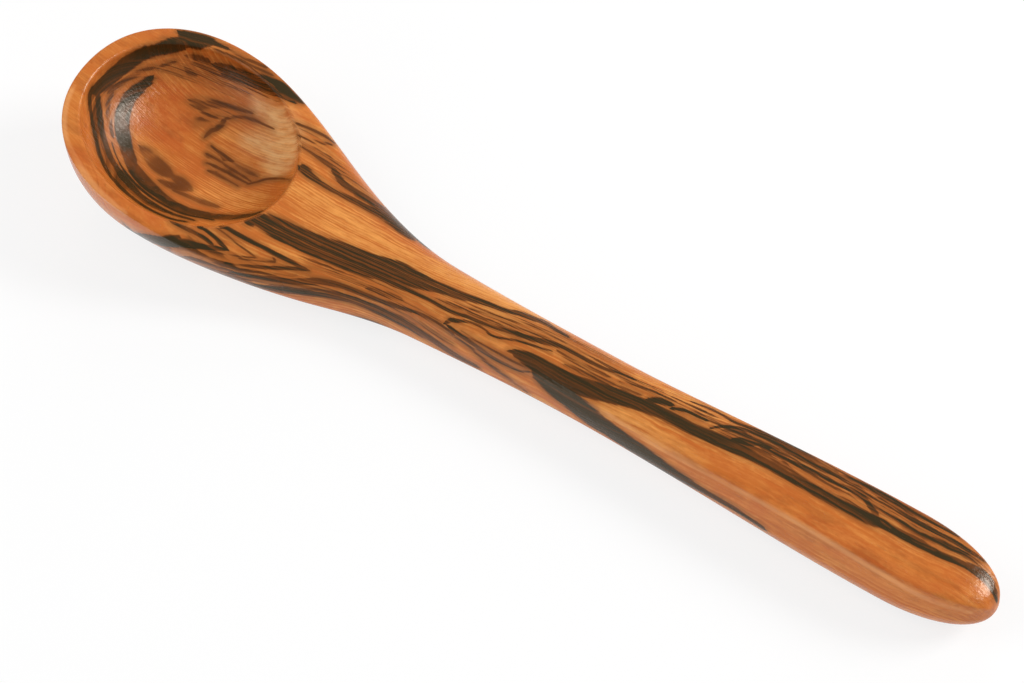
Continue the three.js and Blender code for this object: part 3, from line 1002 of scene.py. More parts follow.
# %% [markdown]
# The side of a vein only means something close to it. Farther out than the trusted gap the half width
# falls steeply, so that nothing is drawn there, and past a vein's last point it tapers to a tip.

# %% Measure the sides
TRUSTED_GAP = 0.45
MISTRUST = 40.0
END_TAPER = 0.6


def with_ways(run):
    """A run, the way along it and the way across it on the wood, at each of its points."""
    way = np.gradient(run[:, :3], axis=0)
    way /= np.maximum(np.linalg.norm(way, axis=1, keepdims=True), TINY)
    facing = np.array([caster.find_nearest(place)[1] for place in run[:, :3].tolist()])
    return run, way, np.cross(facing, way)


def sides_of(layer):
    """Signed way to the middle of the nearest vein, and that vein's half width, at every point."""
    offset = np.full(len(wood_points), FAR)
    half = np.full(len(wood_points), -FAR)
    nearest = np.full(len(wood_points), FAR)
    for run, way, side in map(with_ways, layer):
        for some in near(run):
            gap = wood_points[some, None, :] - run[None, :, :3]
            distance = np.linalg.norm(gap, axis=2) - run[None, :, 3]
            i = distance.argmin(axis=1)
            rows = np.arange(len(some))
            along = np.sum(gap[rows, i] * way[i], axis=1)
            across = np.sum(gap[rows, i] * side[i], axis=1)
            out = np.sqrt(np.maximum(np.sum(gap[rows, i] ** 2, axis=1) - along**2, 0))
            beyond = np.where(i == 0, -along, np.where(i == len(run) - 1, along, 0)).clip(0)
            too_far = np.maximum(out - run[i, 3] - TRUSTED_GAP, 0)
            width = run[i, 3] - END_TAPER * beyond - MISTRUST * too_far
            better = distance[rows, i] < nearest[some]
            nearest[some[better]] = distance[rows, i][better]
            offset[some[better]] = np.where(across < 0, -out, out)[better]
            half[some[better]] = width.clip(-FAR)[better]
    return offset, half


vein_layers = {kind: [sides_of(layer) for layer in layers] for kind, layers in vein_runs.items()}
for kind, layers in vein_layers.items():
    inside = np.any([np.abs(offset) < half for offset, half in layers], axis=0)
    print(kind, f"veins hold {np.mean(inside):.1%} of the points")

# %% [markdown]
# ## The flow of the grain
#
# Fine grain follows the veins round the fork and the eye. To steer it, every point of the outside gets
# a second measure beside its x: the girth, the way from the crest round the wood to the point. A
# smooth bulge is added to the girth so that it hardly changes along any stroke; lines of equal value
# then run beside the veins.

# %% Measure the girth
GIRTH_PLACES = 261
GIRTH_SHARES = 121
GIRTH_MARGIN = 0.02
PAST_LAST_CELL = 1.001
SIDE_MARGIN = 0.001

girth_x = np.linspace(GIRTH_MARGIN, SPOON_LENGTH - GIRTH_MARGIN, GIRTH_PLACES)
girth_turn = np.linspace(0, math.pi / 2, GIRTH_SHARES)
grid_x = np.repeat(girth_x[:, None], GIRTH_SHARES, axis=1)
grid_y = np.sin(girth_turn)[None, :] * section(girth_x)[0][:, None]


def way_out(height):
    """Length of the surface from its middle line to each grid point."""
    run = np.hypot(np.diff(grid_y, axis=1), np.diff(height(grid_x, grid_y), axis=1))
    return np.concatenate([np.zeros((GIRTH_PLACES, 1)), np.cumsum(run, axis=1)], axis=1)


girth_over = way_out(top_height)
under_way = way_out(underside_height)
girth_under = girth_over[:, -1:] + under_way[:, -1:] - under_way


def look_up(grid, x, share):
    """A value between the points of the grid."""
    i = np.clip((x - girth_x[0]) / (girth_x[1] - girth_x[0]), 0, GIRTH_PLACES - PAST_LAST_CELL)
    j = np.clip(np.arcsin(share) / girth_turn[1], 0, GIRTH_SHARES - PAST_LAST_CELL)
    i0, j0 = i.astype(int), j.astype(int)
    u, v = i - i0, j - j0
    low = grid[i0, j0] * (1 - v) + grid[i0, j0 + 1] * v
    high = grid[i0 + 1, j0] * (1 - v) + grid[i0 + 1, j0 + 1] * v
    return low * (1 - u) + high * u


def girth(x, y, z):
    """Way from the crest round the wood to each point, below zero on the near side."""
    half_width, side, _, _ = section(x)
    share = share_across(y, half_width)
    on_top = z >= side - SIDE_MARGIN
    way = np.where(on_top, look_up(girth_over, x, share), look_up(girth_under, x, share))
    return np.sign(y) * way


print(f"half way round the grip: {np.interp(GRIP_AT, girth_x, girth_under[:, 0]):.1f} mm")

# %% [markdown]
# Inside the hollow the cut sheets of wood show as horseshoes: lines of equal height on the wall, that
# run out straight towards the handle. The same kind of bulges bends those to the drawn rings.

# %% Work out the flow
FLOW_REACH = 6.0
FLOW_STEP = 3
SHORTEST_STEP = 0.001
HORSESHOE_FOCUS = 2.5
FLOOR_LEAN = 0.8


def plain_girth(x, girths):
    """The girth itself, before any bulge."""
    return girths


def plain_horseshoe(x, y):
    """Height of the hollow's wall, as if the hollow ran out open towards the handle."""
    run = np.minimum(x - HEAD_AT - HORSESHOE_FOCUS, 0.0) / (plan_half[0] + HORSESHOE_FOCUS)
    out = np.clip(np.hypot(run, y / plan_half[1]), 0.0, 1.0)
    depth = (1 - out**HOLLOW_OUTWARD_FULLNESS) ** (1 / HOLLOW_DOWNWARD_FULLNESS)
    return FLOOR_LEAN * y - HOLLOW_DEPTH * depth


def bulges(u, v, centres):
    """Height at each place of a round bulge of height one at each centre."""
    du = (u[:, None] - centres[None, :, 0]) / FLOW_REACH
    dv = (v[:, None] - centres[None, :, 1]) / FLOW_REACH
    return np.exp(-0.5 * (du**2 + dv**2))


def fit_flow(tracks, centres, base, stiffness):
    """Heights of the bulges that make base plus bulges level along the tracks."""
    rows, wanted = [], []
    for track in tracks:
        a, b = track[:-FLOW_STEP], track[FLOW_STEP:]
        length = np.maximum(np.linalg.norm(b - a, axis=1), SHORTEST_STEP)
        change = bulges(*b.T, centres) - bulges(*a.T, centres)
        rows.append(change / length[:, None])
        wanted.append((base(*a.T) - base(*b.T)) / length)
    rows, wanted = np.concatenate(rows), np.concatenate(wanted)
    square = rows.T @ rows + stiffness * np.eye(len(centres))
    heights = np.linalg.solve(square, rows.T @ wanted)
    left = np.abs(rows @ heights - wanted).mean()
    print(f"{len(centres)} bulges, drift {np.abs(wanted).mean():.3f} before and {left:.3f} after")
    return heights


print(f"floor of the plain horseshoe {-plain_horseshoe(HEAD_AT, 0.0):.1f} mm below the rim")

# %% [markdown]
# Only stretches that lie clearly outside or inside the hollow take part, and only those long enough to
# have a direction. The bulges stand on an even grid, and the stiffness keeps a bulge low where no vein
# asks for it.

# %% Bend the flow to the veins
INSIDE_SHARE = 0.99
FEWEST_TRACK_POINTS = 6
SHORTEST_TRACK = 6.0
OUTSIDE_STIFFNESS = 0.4
HOLLOW_STIFFNESS = 0.6
BULGE_GAP = 5.0
GIRTH_GAP = 6.0
GIRTH_REACH = 24.0
HOLLOW_REACH = 15.0


def even_row(low, high, gap):
    """Numbers from low to high, both kept."""
    return np.arange(low, high + gap / 2, gap)


def all_pairs(row_u, row_v):
    """Centres at every crossing of two rows."""
    return np.array([(u, v) for u in row_u for v in row_v])


outside_tracks, hollow_tracks = [], []
for run in (run for kind in VEIN_KINDS for run in runs[kind]):
    out = np.hypot((run[:, 0] - HEAD_AT) / plan_half[0], run[:, 1] / plan_half[1])
    outside, inside = run[out >= 1.0], run[out < INSIDE_SHARE]
    if len(outside) >= FEWEST_TRACK_POINTS:
        outside_tracks.append(np.column_stack([outside[:, 0], girth(*outside[:, :3].T)]))
    if len(inside) >= FEWEST_TRACK_POINTS and np.ptp(inside[:, :2], axis=0).max() > SHORTEST_TRACK:
        hollow_tracks.append(inside[:, :2])

print(len(outside_tracks), "tracks outside and", len(hollow_tracks), "in the hollow")

girth_row = even_row(-GIRTH_REACH, GIRTH_REACH, GIRTH_GAP)
hollow_row = even_row(-HOLLOW_REACH, HOLLOW_REACH, BULGE_GAP)
outside_centres = all_pairs(even_row(0.0, SPOON_LENGTH, BULGE_GAP), girth_row)
hollow_centres = all_pairs(HEAD_AT + hollow_row, hollow_row)
outside_heights = fit_flow(outside_tracks, outside_centres, plain_girth, OUTSIDE_STIFFNESS)
hollow_heights = fit_flow(hollow_tracks, hollow_centres, plain_horseshoe, HOLLOW_STIFFNESS)

# %% [markdown]
# ## Store the measures
#
# A material can read any number that is stored on the mesh. Most are stored once for each point. The
# flow jumps where the top turns into the hollow, and a point on that edge has one value for each side,
# so the flow is stored for each corner of each face. Fine fibres in the hollow run straight, as they
# do in the block that it was cut from.

# %% Store the measures
x, y, z = wood_points.T
around = girth(x, y, z)
shaft_across = around + bulges(x, around, outside_centres) @ outside_heights
bowl_across = plain_horseshoe(x, y) + bulges(x, y, hollow_centres) @ hollow_heights
face_corners = [list(face.vertices) for face in spoon_mesh.polygons]
in_hollow = np.concatenate([[min(f) >= first_hollow_point] * len(f) for f in face_corners])
corner_points = np.concatenate(face_corners)
grain_across = np.where(in_hollow, bowl_across[corner_points], shaft_across[corner_points])
fibre_across = np.where(in_hollow, y[corner_points], shaft_across[corner_points])


def store(name, values, domain="POINT"):
    """Keeps one number for each point, or for each corner of a face, on the mesh."""
    layer = spoon_mesh.attributes.new(name, "FLOAT", domain)
    layer.data.foreach_set("value", np.asarray(values, np.float32))


store("grain_along", x)
store("grain_across", grain_across, "CORNER")
store("fibre_across", fibre_across, "CORNER")
for kind, distance in figure_distance.items():
    store("figure_" + kind, distance)
for kind, layers in vein_layers.items():
    for number, (offset, half) in enumerate(layers):
        store(f"{kind}_{number}_side", offset)
        store(f"{kind}_{number}_half", half)
print(f"grain runs from {grain_across.min():.1f} to {grain_across.max():.1f} mm across")

# %% [markdown]
# ## The oiled olive wood
#
# The finish is one material. It starts with an orange ground that wanders between honey and red-brown.
# All veins then meet in one strength: strong where a stroke is solid, middling where it is striped or
# brown, weak in the lively zones. Fine lines along the grain are added to the strength, and the sum
# decides the colour, so every vein has fibres along its edge and a brown fringe, as in real wood. That
# takes many small nodes, so a few helpers come first that set up one kind of node each.

# %% Node helpers
wood = bpy.data.materials.new("oiled_olive_wood")
wood.use_nodes = True
nodes = wood.node_tree.nodes
shader = nodes["Principled BSDF"]


def colour(red, green, blue):
    """A colour as the eye reads it, 0 to 255, as the linear values that Blender mixes."""
    parts = [c / 255 for c in (red, green, blue)]
    return [c / 12.92 if c <= 0.04045 else ((c + 0.055) / 1.055) ** 2.4 for c in parts] + [1.0]


def plug(socket, value):
    """Links a socket to a node's output, or sets a plain value."""
    if isinstance(value, bpy.types.NodeSocket):
        socket.id_data.links.new(value, socket)
    else:
        socket.default_value = value


def measure(name):
    """A number that is stored on the mesh."""
    node = nodes.new("ShaderNodeAttribute")
    node.attribute_name = name
    return node.outputs["Fac"]


def sums(operation, first, *others, board=nodes):
    """The same sum for one value after another, from left to right."""
    for other in others or (0.0,):
        node = board.new("ShaderNodeMath")
        node.operation = operation
        plug(node.inputs[0], first)
        plug(node.inputs[1], other)
        first = node.outputs[0]
    return first


def swing(value, amount):
    """A value from 0 to 1 as a swing of plus or minus half the amount."""
    return sums("MULTIPLY", sums("SUBTRACT", value, 0.5), amount)


def between(value, low, high, start=0.0, end=1.0):
    """Goes smoothly from start to end while value goes from low to high."""
    node = nodes.new("ShaderNodeMapRange")
    node.interpolation_type = "SMOOTHSTEP"
    for socket, number in zip(node.inputs, (value, low, high, start, end)):
        plug(socket, number)
    return node.outputs[0]


def mixed(share, a, b):
    """Colour a with a share of colour b."""
    node = nodes.new("ShaderNodeMix")
    node.data_type = "RGBA"
    plug(node.inputs["Factor"], share)
    plug(node.inputs["A"], a)
    plug(node.inputs["B"], b)
    return node.outputs["Result"]


print("bare wood material with", len(nodes), "nodes")

# %% [markdown]
# ## Noise along the grain
#
# Wood noise is ordinary noise, drawn out: it changes slowly along the fibres and quickly across them.
# The stored flow takes the place of plain coordinates, so the streaks bend with the veins. The layer
# is a third coordinate, different for each noise, so that no two of them look alike.

# %% Noise drawn out along the grain
along = measure("grain_along")
across = measure("grain_across")
fibre = measure("fibre_across")


def noise(place, detail, roughness):
    """Plain noise from 0 to 1 at a place."""
    node = nodes.new("ShaderNodeTexNoise")
    plug(node.inputs["Vector"], place)
    plug(node.inputs["Scale"], 1.0)
    plug(node.inputs["Detail"], detail)
    plug(node.inputs["Roughness"], roughness)
    return node.outputs["Fac"]


def place_at(x, y, z):
    """Three numbers as one place."""
    node = nodes.new("ShaderNodeCombineXYZ")
    for socket, value in zip(node.inputs, (x, y, z)):
        plug(socket, value)
    return node.outputs[0]


def grain_noise(per_mm_along, per_mm_across, detail, roughness, layer=0.0, side=fibre):
    """Noise drawn out along the grain."""
    x = sums("MULTIPLY", along, per_mm_along)
    y = sums("MULTIPLY", side, per_mm_across)
    return noise(place_at(x, y, layer), detail, roughness)


fibre_noise = grain_noise(per_mm_along=0.04, per_mm_across=3.0, detail=3.0, roughness=0.6, layer=8.1)
hair_noise = grain_noise(per_mm_along=0.15, per_mm_across=9.0, detail=2.0, roughness=0.5, layer=31.0)
FIBRE_RANGE = (0.38, 0.62)
HAIR_RANGE = (0.4, 0.6)
fibres = between(fibre_noise, *FIBRE_RANGE)
hairs = between(hair_noise, *HAIR_RANGE)
print("fibres and hairs:", len(nodes), "nodes so far")

# %% [markdown]
# ## Fine lines
#
# Each year leaves a line that darkens slowly and stops short. Noise can't give such a one-sided line,
# so the measure across the grain is counted off in spacings, with some drift and shake, and the part
# left over after the count makes the line. The count itself picks a slow noise for each line, which
# lets it fade in and out on its way.

# %% Fine lines of the grain
LINE_DRIFT = {"per_mm_along": 0.015, "per_mm_across": 0.25, "detail": 2.0, "roughness": 0.5}
LINE_SHAKE = {"per_mm_along": 0.3, "per_mm_across": 1.2, "detail": 2.0, "roughness": 0.5}
LINE_RISE = (0.05, 0.75)
LINE_STOP = (1.0, 0.86)
LIFE_PER_MM = 0.06
LIFE_PER_LINE = 3.7
LIFE_NOISE = {"detail": 2.0, "roughness": 0.5}
LIFE_RANGE = (0.32, 0.62)
FAINTEST_LINE = 0.15


def grain_lines(spacing, wander, wobble, layer, side):
    """Lines that darken slowly to one side and stop short, each fading in and out on its way."""
    drift = sums("MULTIPLY", grain_noise(**LINE_DRIFT, layer=layer, side=side), wander)
    shake = swing(grain_noise(**LINE_SHAKE, layer=layer + 1, side=side), wobble)
    count = sums("ADD", sums("MULTIPLY", side, 1 / spacing), sums("ADD", drift, shake))
    life_x = sums("MULTIPLY", along, LIFE_PER_MM)
    life_y = sums("MULTIPLY", sums("FLOOR", count), LIFE_PER_LINE)
    life = noise(place_at(life_x, life_y, layer + 2), **LIFE_NOISE)
    part = sums("FRACT", count)
    rise = sums("MULTIPLY", between(part, *LINE_RISE), between(part, *LINE_STOP))
    return sums("MULTIPLY", rise, between(life, *LIFE_RANGE, FAINTEST_LINE, 1.0))


bold_lines = grain_lines(spacing=0.62, wander=3.0, wobble=1.2, layer=50.0, side=across)
thin_lines = grain_lines(spacing=0.26, wander=5.0, wobble=1.6, layer=60.0, side=across)
ground_lines = grain_lines(spacing=0.34, wander=4.0, wobble=1.4, layer=70.0, side=fibre)
print("three sets of grain lines:", len(nodes), "nodes so far")

# %% [markdown]
# ## Patches
#
# On the rim and the grip the wood has few lines, but it is never one flat colour: a flat patch would
# look like plastic. Soft patches, thin layers, specks and smudges are worked out in the block that the
# spoon was cut from, so they run on over every edge.

# %% Patches that go right through the wood
solid_place = nodes.new("ShaderNodeTexCoord").outputs["Object"]


def solid_noise(per_mm_along, per_mm_across, detail, roughness):
    """Noise all through the block that the spoon was cut from, drawn out along its length."""
    stretch = nodes.new("ShaderNodeMapping")
    plug(stretch.inputs["Vector"], solid_place)
    plug(stretch.inputs["Scale"], (per_mm_along / MM, per_mm_across / MM, per_mm_across / MM))
    return noise(stretch.outputs[0], detail, roughness)


patches = solid_noise(per_mm_along=0.08, per_mm_across=0.3, detail=4.0, roughness=0.6)
thin_layers = solid_noise(per_mm_along=0.03, per_mm_across=1.1, detail=4.0, roughness=0.6)
red_patches = solid_noise(per_mm_along=0.11, per_mm_across=0.42, detail=3.0, roughness=0.55)
speckle = solid_noise(per_mm_along=0.9, per_mm_across=3.2, detail=2.0, roughness=0.6)
smudges = solid_noise(per_mm_along=0.2, per_mm_across=0.6, detail=4.0, roughness=0.65)
print("five kinds of patches:", len(nodes), "nodes so far")

# %% [markdown]
# ## Quiet wood
#
# The lines are left out where the wood is calm in the photograph, and where the surface cuts across
# the fibres: there the eye sees their ends, as on the end of a plank. That is found from the normal,
# which points along the spoon on such a place.

# %% Calm, pale and lit, and red zones
CALM_FEATHER = (1.2, -0.6)
ZONE_FEATHER = (1.6, -0.6)
END_GRAIN_RANGE = (0.45, 0.9)
CALM_QUIET = 0.75
END_GRAIN_QUIET = 0.85

calm = between(measure("figure_calm"), *CALM_FEATHER)
pale_and_lit = between(measure("figure_pale_and_lit"), *ZONE_FEATHER)
red = between(measure("figure_red"), *ZONE_FEATHER)
facing = nodes.new("ShaderNodeSeparateXYZ")
plug(facing.inputs[0], nodes.new("ShaderNodeNewGeometry").outputs["Normal"])
facing_along = sums("ABSOLUTE", facing.outputs["X"])
end_grain = between(facing_along, *END_GRAIN_RANGE, 0.0, END_GRAIN_QUIET)
quiet = sums("MAXIMUM", sums("MULTIPLY", calm, CALM_QUIET), end_grain)
liveliness = sums("SUBTRACT", 1.0, quiet)
print("quiet and lively wood:", len(nodes), "nodes so far")

# %% [markdown]
# ## The ground
#
# Two sums steer the ground between its veins: the tone, from orange to honey, and the redness. Each is
# put together from lines, streaks and patches, and lifted in the zones that were drawn for it.

# %% How light and how red the ground is
SOFT_RANGE = (0.3, 0.7)
FIRM_RANGE = (0.35, 0.65)
PATCH_RANGE = (0.34, 0.66)
GROUND_LINE_WEIGHT = -0.75
FIBRE_SWING = 0.3
STREAK_SWING = 0.5
MOTTLE_SWING = 0.3
BROAD_LIFT = 0.4
PALE_AND_LIT_LIFT = 0.6
PATCH_SWING = 0.36
LAYER_SWING = 0.34
SPECKLE_SWING = 0.16
RED_ZONE_LIFT = 0.75
RED_PATCH_SWING = 0.9

broad = grain_noise(per_mm_along=0.02, per_mm_across=0.35, detail=3.0, roughness=0.5)
mottle = grain_noise(per_mm_along=0.12, per_mm_across=0.5, detail=4.0, roughness=0.6, layer=41.0)
streaks = grain_noise(per_mm_along=0.4, per_mm_across=1.8, detail=3.0, roughness=0.6, layer=44.0)
ground_figure = sums(
    "ADD",
    swing(fibres, FIBRE_SWING),
    sums("MULTIPLY", ground_lines, GROUND_LINE_WEIGHT),
    swing(between(streaks, *SOFT_RANGE), STREAK_SWING),
    swing(between(mottle, *SOFT_RANGE), MOTTLE_SWING),
    between(broad, *SOFT_RANGE, 0.0, BROAD_LIFT),
)
# The pale zones lift the tone towards honey; on the back of the floor and the lower side of the neck that
# lift is painted light.
tone = sums(
    "ADD",
    sums("MULTIPLY", ground_figure, liveliness),
    sums("MULTIPLY", pale_and_lit, PALE_AND_LIT_LIFT),
    swing(between(patches, *PATCH_RANGE), PATCH_SWING),
    sums("MULTIPLY", swing(between(thin_layers, *FIRM_RANGE), LAYER_SWING), quiet),
    swing(between(speckle, *FIRM_RANGE), SPECKLE_SWING),
)
red_swing = swing(between(red_patches, *FIRM_RANGE), RED_PATCH_SWING)
redness = sums("ADD", sums("MULTIPLY", red, RED_ZONE_LIFT), red_swing)
print("tone and redness:", len(nodes), "nodes so far")

# %% [markdown]
# The colours are laid over each other from the broadest to the finest: orange and red-orange, honey,
# smudges on quiet wood, the dry and chalky back of the hollow with its painted sheen, hairs, and last
# the painted highlights along the edges.

# %% Colour of the ground
HONEY = colour(237, 159, 79)
ORANGE = colour(201, 110, 44)
RED_ORANGE = colour(193, 95, 37)
PAINTED_HIGHLIGHT_PALE = colour(238, 168, 106)
LINE_BROWN = colour(140, 70, 26)
CHALK_AND_SHEEN = colour(244, 196, 134)
MOST_RED = 0.9
TONE_RANGE = (-0.4, 1.2)
SMUDGE_RANGE = (0.45, 0.66)
MOST_SMUDGED = 0.45
CHALK_AND_SHEEN_FEATHER = (1.8, -0.9)
MOST_CHALK_AND_SHEEN = 0.9
LEAST_CHALK_AND_SHEEN_STREAK = 0.35
HAIR_SHARE = 0.14
HIGHLIGHT_FEATHER = (0.4, -0.05)
HIGHLIGHT_PATCH_RANGE = (0.35, 0.6)
MOST_HIGHLIGHT = 0.5
LEAST_HIGHLIGHT_PATCH = 0.3

ground = mixed(between(redness, 0.0, 1.0, 0.0, MOST_RED), ORANGE, RED_ORANGE)
ground = mixed(between(tone, *TONE_RANGE), ground, HONEY)
smudged = sums("MULTIPLY", between(smudges, *SMUDGE_RANGE, 0.0, MOST_SMUDGED), quiet)
ground = mixed(smudged, ground, LINE_BROWN)
# Painted light and sheen on the back of the hollow, over its pale end grain.
chalk_and_sheen = between(measure("figure_chalk_and_sheen"), *CHALK_AND_SHEEN_FEATHER, 0.0, MOST_CHALK_AND_SHEEN)
chalk_and_sheen = sums("MULTIPLY", chalk_and_sheen, between(streaks, *SOFT_RANGE, LEAST_CHALK_AND_SHEEN_STREAK, 1.0))
ground = mixed(chalk_and_sheen, ground, CHALK_AND_SHEEN)
lively_hairs = sums("MULTIPLY", hairs, liveliness)
ground = mixed(sums("MULTIPLY", lively_hairs, HAIR_SHARE), ground, LINE_BROWN)
# Painted highlight along the edge of the rim and the ridge of the grip, broken up by the patches.
painted_highlight = between(measure("figure_painted_highlight"), *HIGHLIGHT_FEATHER, 0.0, MOST_HIGHLIGHT)
painted_highlight = sums("MULTIPLY", painted_highlight, between(patches, *HIGHLIGHT_PATCH_RANGE, LEAST_HIGHLIGHT_PATCH, 1.0))
ground = mixed(painted_highlight, ground, PAINTED_HIGHLIGHT_PALE)
print("coloured ground:", len(nodes), "nodes so far")

# %% [markdown]
# ## Cover of the veins
#
# The stored measures become covers: one inside a vein or a zone, nothing outside it, with a feathered
# edge that noise along the grain makes ragged. A thin vein gets a narrow feather, or it would fade away.

# %% Cover of the veins and zones
WIDE_VEIN = 0.6
THIN_FEATHER = 0.35
INWARD_FEATHER = -0.6
LONG_RAGGED = 0.5
SHORT_RAGGED = 0.6
FEATHER = {"dark": 0.3, "striped": 0.28, "brown": 0.45, "busy": 1.2, "lively": 1.2}
RAGGED_SHARE = {"dark": 0.7, "striped": 0.45, "brown": 0.4, "busy": 1.5, "lively": 1.5}

LONG_NOISE = {"per_mm_along": 0.07, "per_mm_across": 1.6, "detail": 3.0, "roughness": 0.55}
SHORT_NOISE = {"per_mm_along": 0.3, "per_mm_across": 6.0, "detail": 2.0, "roughness": 0.5}
feather_long = grain_noise(**LONG_NOISE, layer=12.3, side=across)
feather_short = grain_noise(**SHORT_NOISE, layer=17.9, side=across)
ragged = sums("ADD", swing(feather_long, LONG_RAGGED), swing(feather_short, SHORT_RAGGED))


def vein_edge(kind):
    """Way out from the edge of the nearest vein, told in wider steps for a thin one."""
    nearest = FAR
    for number in range(len(vein_layers[kind])):
        half = measure(f"{kind}_{number}_half")
        size = between(half, 0.0, WIDE_VEIN, THIN_FEATHER, 1.0)
        edge = sums("SUBTRACT", sums("ABSOLUTE", measure(f"{kind}_{number}_side")), half)
        nearest = sums("MINIMUM", nearest, sums("DIVIDE", edge, size))
    return nearest


covers = {}
for kind, feather in FEATHER.items():
    edge = vein_edge(kind) if kind in VEIN_KINDS else measure("figure_" + kind)
    edge = sums("ADD", edge, sums("MULTIPLY", ragged, RAGGED_SHARE[kind]))
    covers[kind] = between(edge, feather, INWARD_FEATHER * feather)


def greatest(shares, least):
    """The greatest share of all the kinds of vein at a point."""
    result = least
    for kind, share in shares.items():
        result = sums("MAXIMUM", result, sums("MULTIPLY", covers[kind], share))
    return result


print("covers of", list(covers), len(nodes), "nodes so far")

# %% [markdown]
# ## Haze round the veins
#
# In real wood the dark oil seeps a little way out of a vein. A brown haze round each vein, and over the
# busy and lively zones, gives that. It follows the fibres and stays thin on pale wood and on painted
# light.

# %% Haze round the veins
HAZE_BROWN = colour(144, 85, 36)
HAZE_SHARE = {"busy": 0.8, "lively": 0.6}
FRINGE_SHARE = {"dark": 0.85, "striped": 0.8, "brown": 0.75}
FRINGE_FEATHER = (0.9, -0.05)
HAZE_IN_FIBRES = (0.55, 1.1)
HAZE_ON_PALE_AND_LIT = 0.4
FLOW_NOISE = {"per_mm_along": 0.05, "per_mm_across": 2.4, "detail": 3.0, "roughness": 0.6}

haze = greatest(HAZE_SHARE, 0.0)
for kind, most in FRINGE_SHARE.items():
    fringe = between(measure("figure_" + kind), *FRINGE_FEATHER, 0.0, most)
    haze = sums("MAXIMUM", haze, fringe)
flow_fibres = between(grain_noise(**FLOW_NOISE, layer=9.3, side=across), *FIBRE_RANGE)
haze = sums("MULTIPLY", haze, between(flow_fibres, 0.0, 1.0, *HAZE_IN_FIBRES))
haze = sums("MULTIPLY", haze, between(pale_and_lit, 0.0, 1.0, 1.0, HAZE_ON_PALE_AND_LIT))
ground = mixed(haze, ground, HAZE_BROWN)
print("haze:", len(nodes), "nodes so far")

# %% [markdown]
# ## Colour of the veins
#
# Each kind of vein has its strength, and its share of bold and thin lines. Their sum turns the ground
# to brown and then to a colour that is nearly black, so a striped vein breaks up into dark and brown
# lines, while a dark one stays solid.

# %% Colour of the veins
VEIN_BROWN = colour(106, 56, 18)
VEIN_DARK = colour(53, 41, 18)
STRENGTH = {"dark": 0.9, "striped": 0.76, "brown": 0.52, "busy": 0.32, "lively": 0.24}
BOLD_SHARE = {"dark": 0.1, "striped": 0.3, "brown": 0.1, "busy": 0.46, "lively": 0.5}
THIN_SHARE = {"dark": 0.2, "striped": 0.4, "brown": 0.2, "busy": 0.45, "lively": 0.45}
LEAST_LINE_SHARE = 0.06
THIN_SHARE_IN_HAZE = 0.35
LINE_MIDDLE = 0.3
FLOW_FIBRE_SWING = 0.2
BROWN_RANGE = (0.22, 0.6)
MOST_BROWN = 0.95
DARK_RANGE = (0.55, 1.0)

bold_share = greatest(BOLD_SHARE, LEAST_LINE_SHARE)
thin_share = greatest(THIN_SHARE, LEAST_LINE_SHARE)
thin_share = sums("MAXIMUM", thin_share, sums("MULTIPLY", haze, THIN_SHARE_IN_HAZE))
bold = sums("MULTIPLY", sums("SUBTRACT", bold_lines, LINE_MIDDLE), bold_share)
thin = sums("MULTIPLY", sums("SUBTRACT", thin_lines, LINE_MIDDLE), thin_share)
strength = sums("ADD", greatest(STRENGTH, 0.0), swing(flow_fibres, FLOW_FIBRE_SWING))
strength = sums("ADD", strength, sums("ADD", bold, thin))
wood_colour = mixed(between(strength, *BROWN_RANGE, 0.0, MOST_BROWN), ground, VEIN_BROWN)
wood_colour = mixed(between(strength, *DARK_RANGE), wood_colour, VEIN_DARK)
print("veins:", len(nodes), "nodes so far")

# %% [markdown]
# ## Pores, gloss and relief
#
# Oiled wood is smooth with a soft, warm gloss. Its open pores are small dark dashes that don't shine,
# and end grain drinks the oil and turns duller. A very shallow bump from hairs, pores and a fine grit
# breaks up the edges of the reflections, as a hand-sanded surface does.

# %% Pores, gloss and relief
PORE_NOISE = {"per_mm_along": 1.2, "per_mm_across": 12.0, "detail": 2.0, "roughness": 0.5}
PORE_RANGE = (0.62, 0.78)
MOST_PORE = 0.2
OILED_ROUGHNESS = 0.21
FIBRE_ROUGHNESS = 0.06
PORE_ROUGHNESS = 0.3
DULL_RANGE = (0.6, 0.95)
END_GRAIN_ROUGHNESS = 0.14
OIL_GLOSS = 0.45
OIL_TINT = (1.0, 0.9, 0.78, 1.0)
HAIR_RELIEF = 0.4
GRIT_RELIEF = 1.6
BUMP_STRENGTH = 0.5
BUMP_DEPTH = 0.06 * MM

pore_share = between(grain_noise(**PORE_NOISE, layer=23.0), *PORE_RANGE, 0.0, MOST_PORE)
rough = sums(
    "ADD",
    sums("MULTIPLY", fibres, FIBRE_ROUGHNESS),
    OILED_ROUGHNESS,
    sums("MULTIPLY", pore_share, PORE_ROUGHNESS),
    between(facing_along, *DULL_RANGE, 0.0, END_GRAIN_ROUGHNESS),
)
grit = solid_noise(per_mm_along=2.0, per_mm_across=2.8, detail=2.0, roughness=0.6)
relief = sums("SUBTRACT", sums("MULTIPLY", lively_hairs, HAIR_RELIEF), pore_share)
relief = sums("ADD", relief, swing(grit, GRIT_RELIEF))
bump = nodes.new("ShaderNodeBump")
plug(bump.inputs["Strength"], BUMP_STRENGTH)
plug(bump.inputs["Distance"], BUMP_DEPTH)
plug(bump.inputs["Height"], relief)

plug(shader.inputs["Base Color"], mixed(pore_share, wood_colour, VEIN_DARK))
plug(shader.inputs["Roughness"], rough)
plug(shader.inputs["Specular IOR Level"], OIL_GLOSS)
plug(shader.inputs["Specular Tint"], OIL_TINT)
plug(shader.inputs["Normal"], bump.outputs["Normal"])
spoon_mesh.materials.append(wood)
print("wood material with", len(nodes), "nodes")

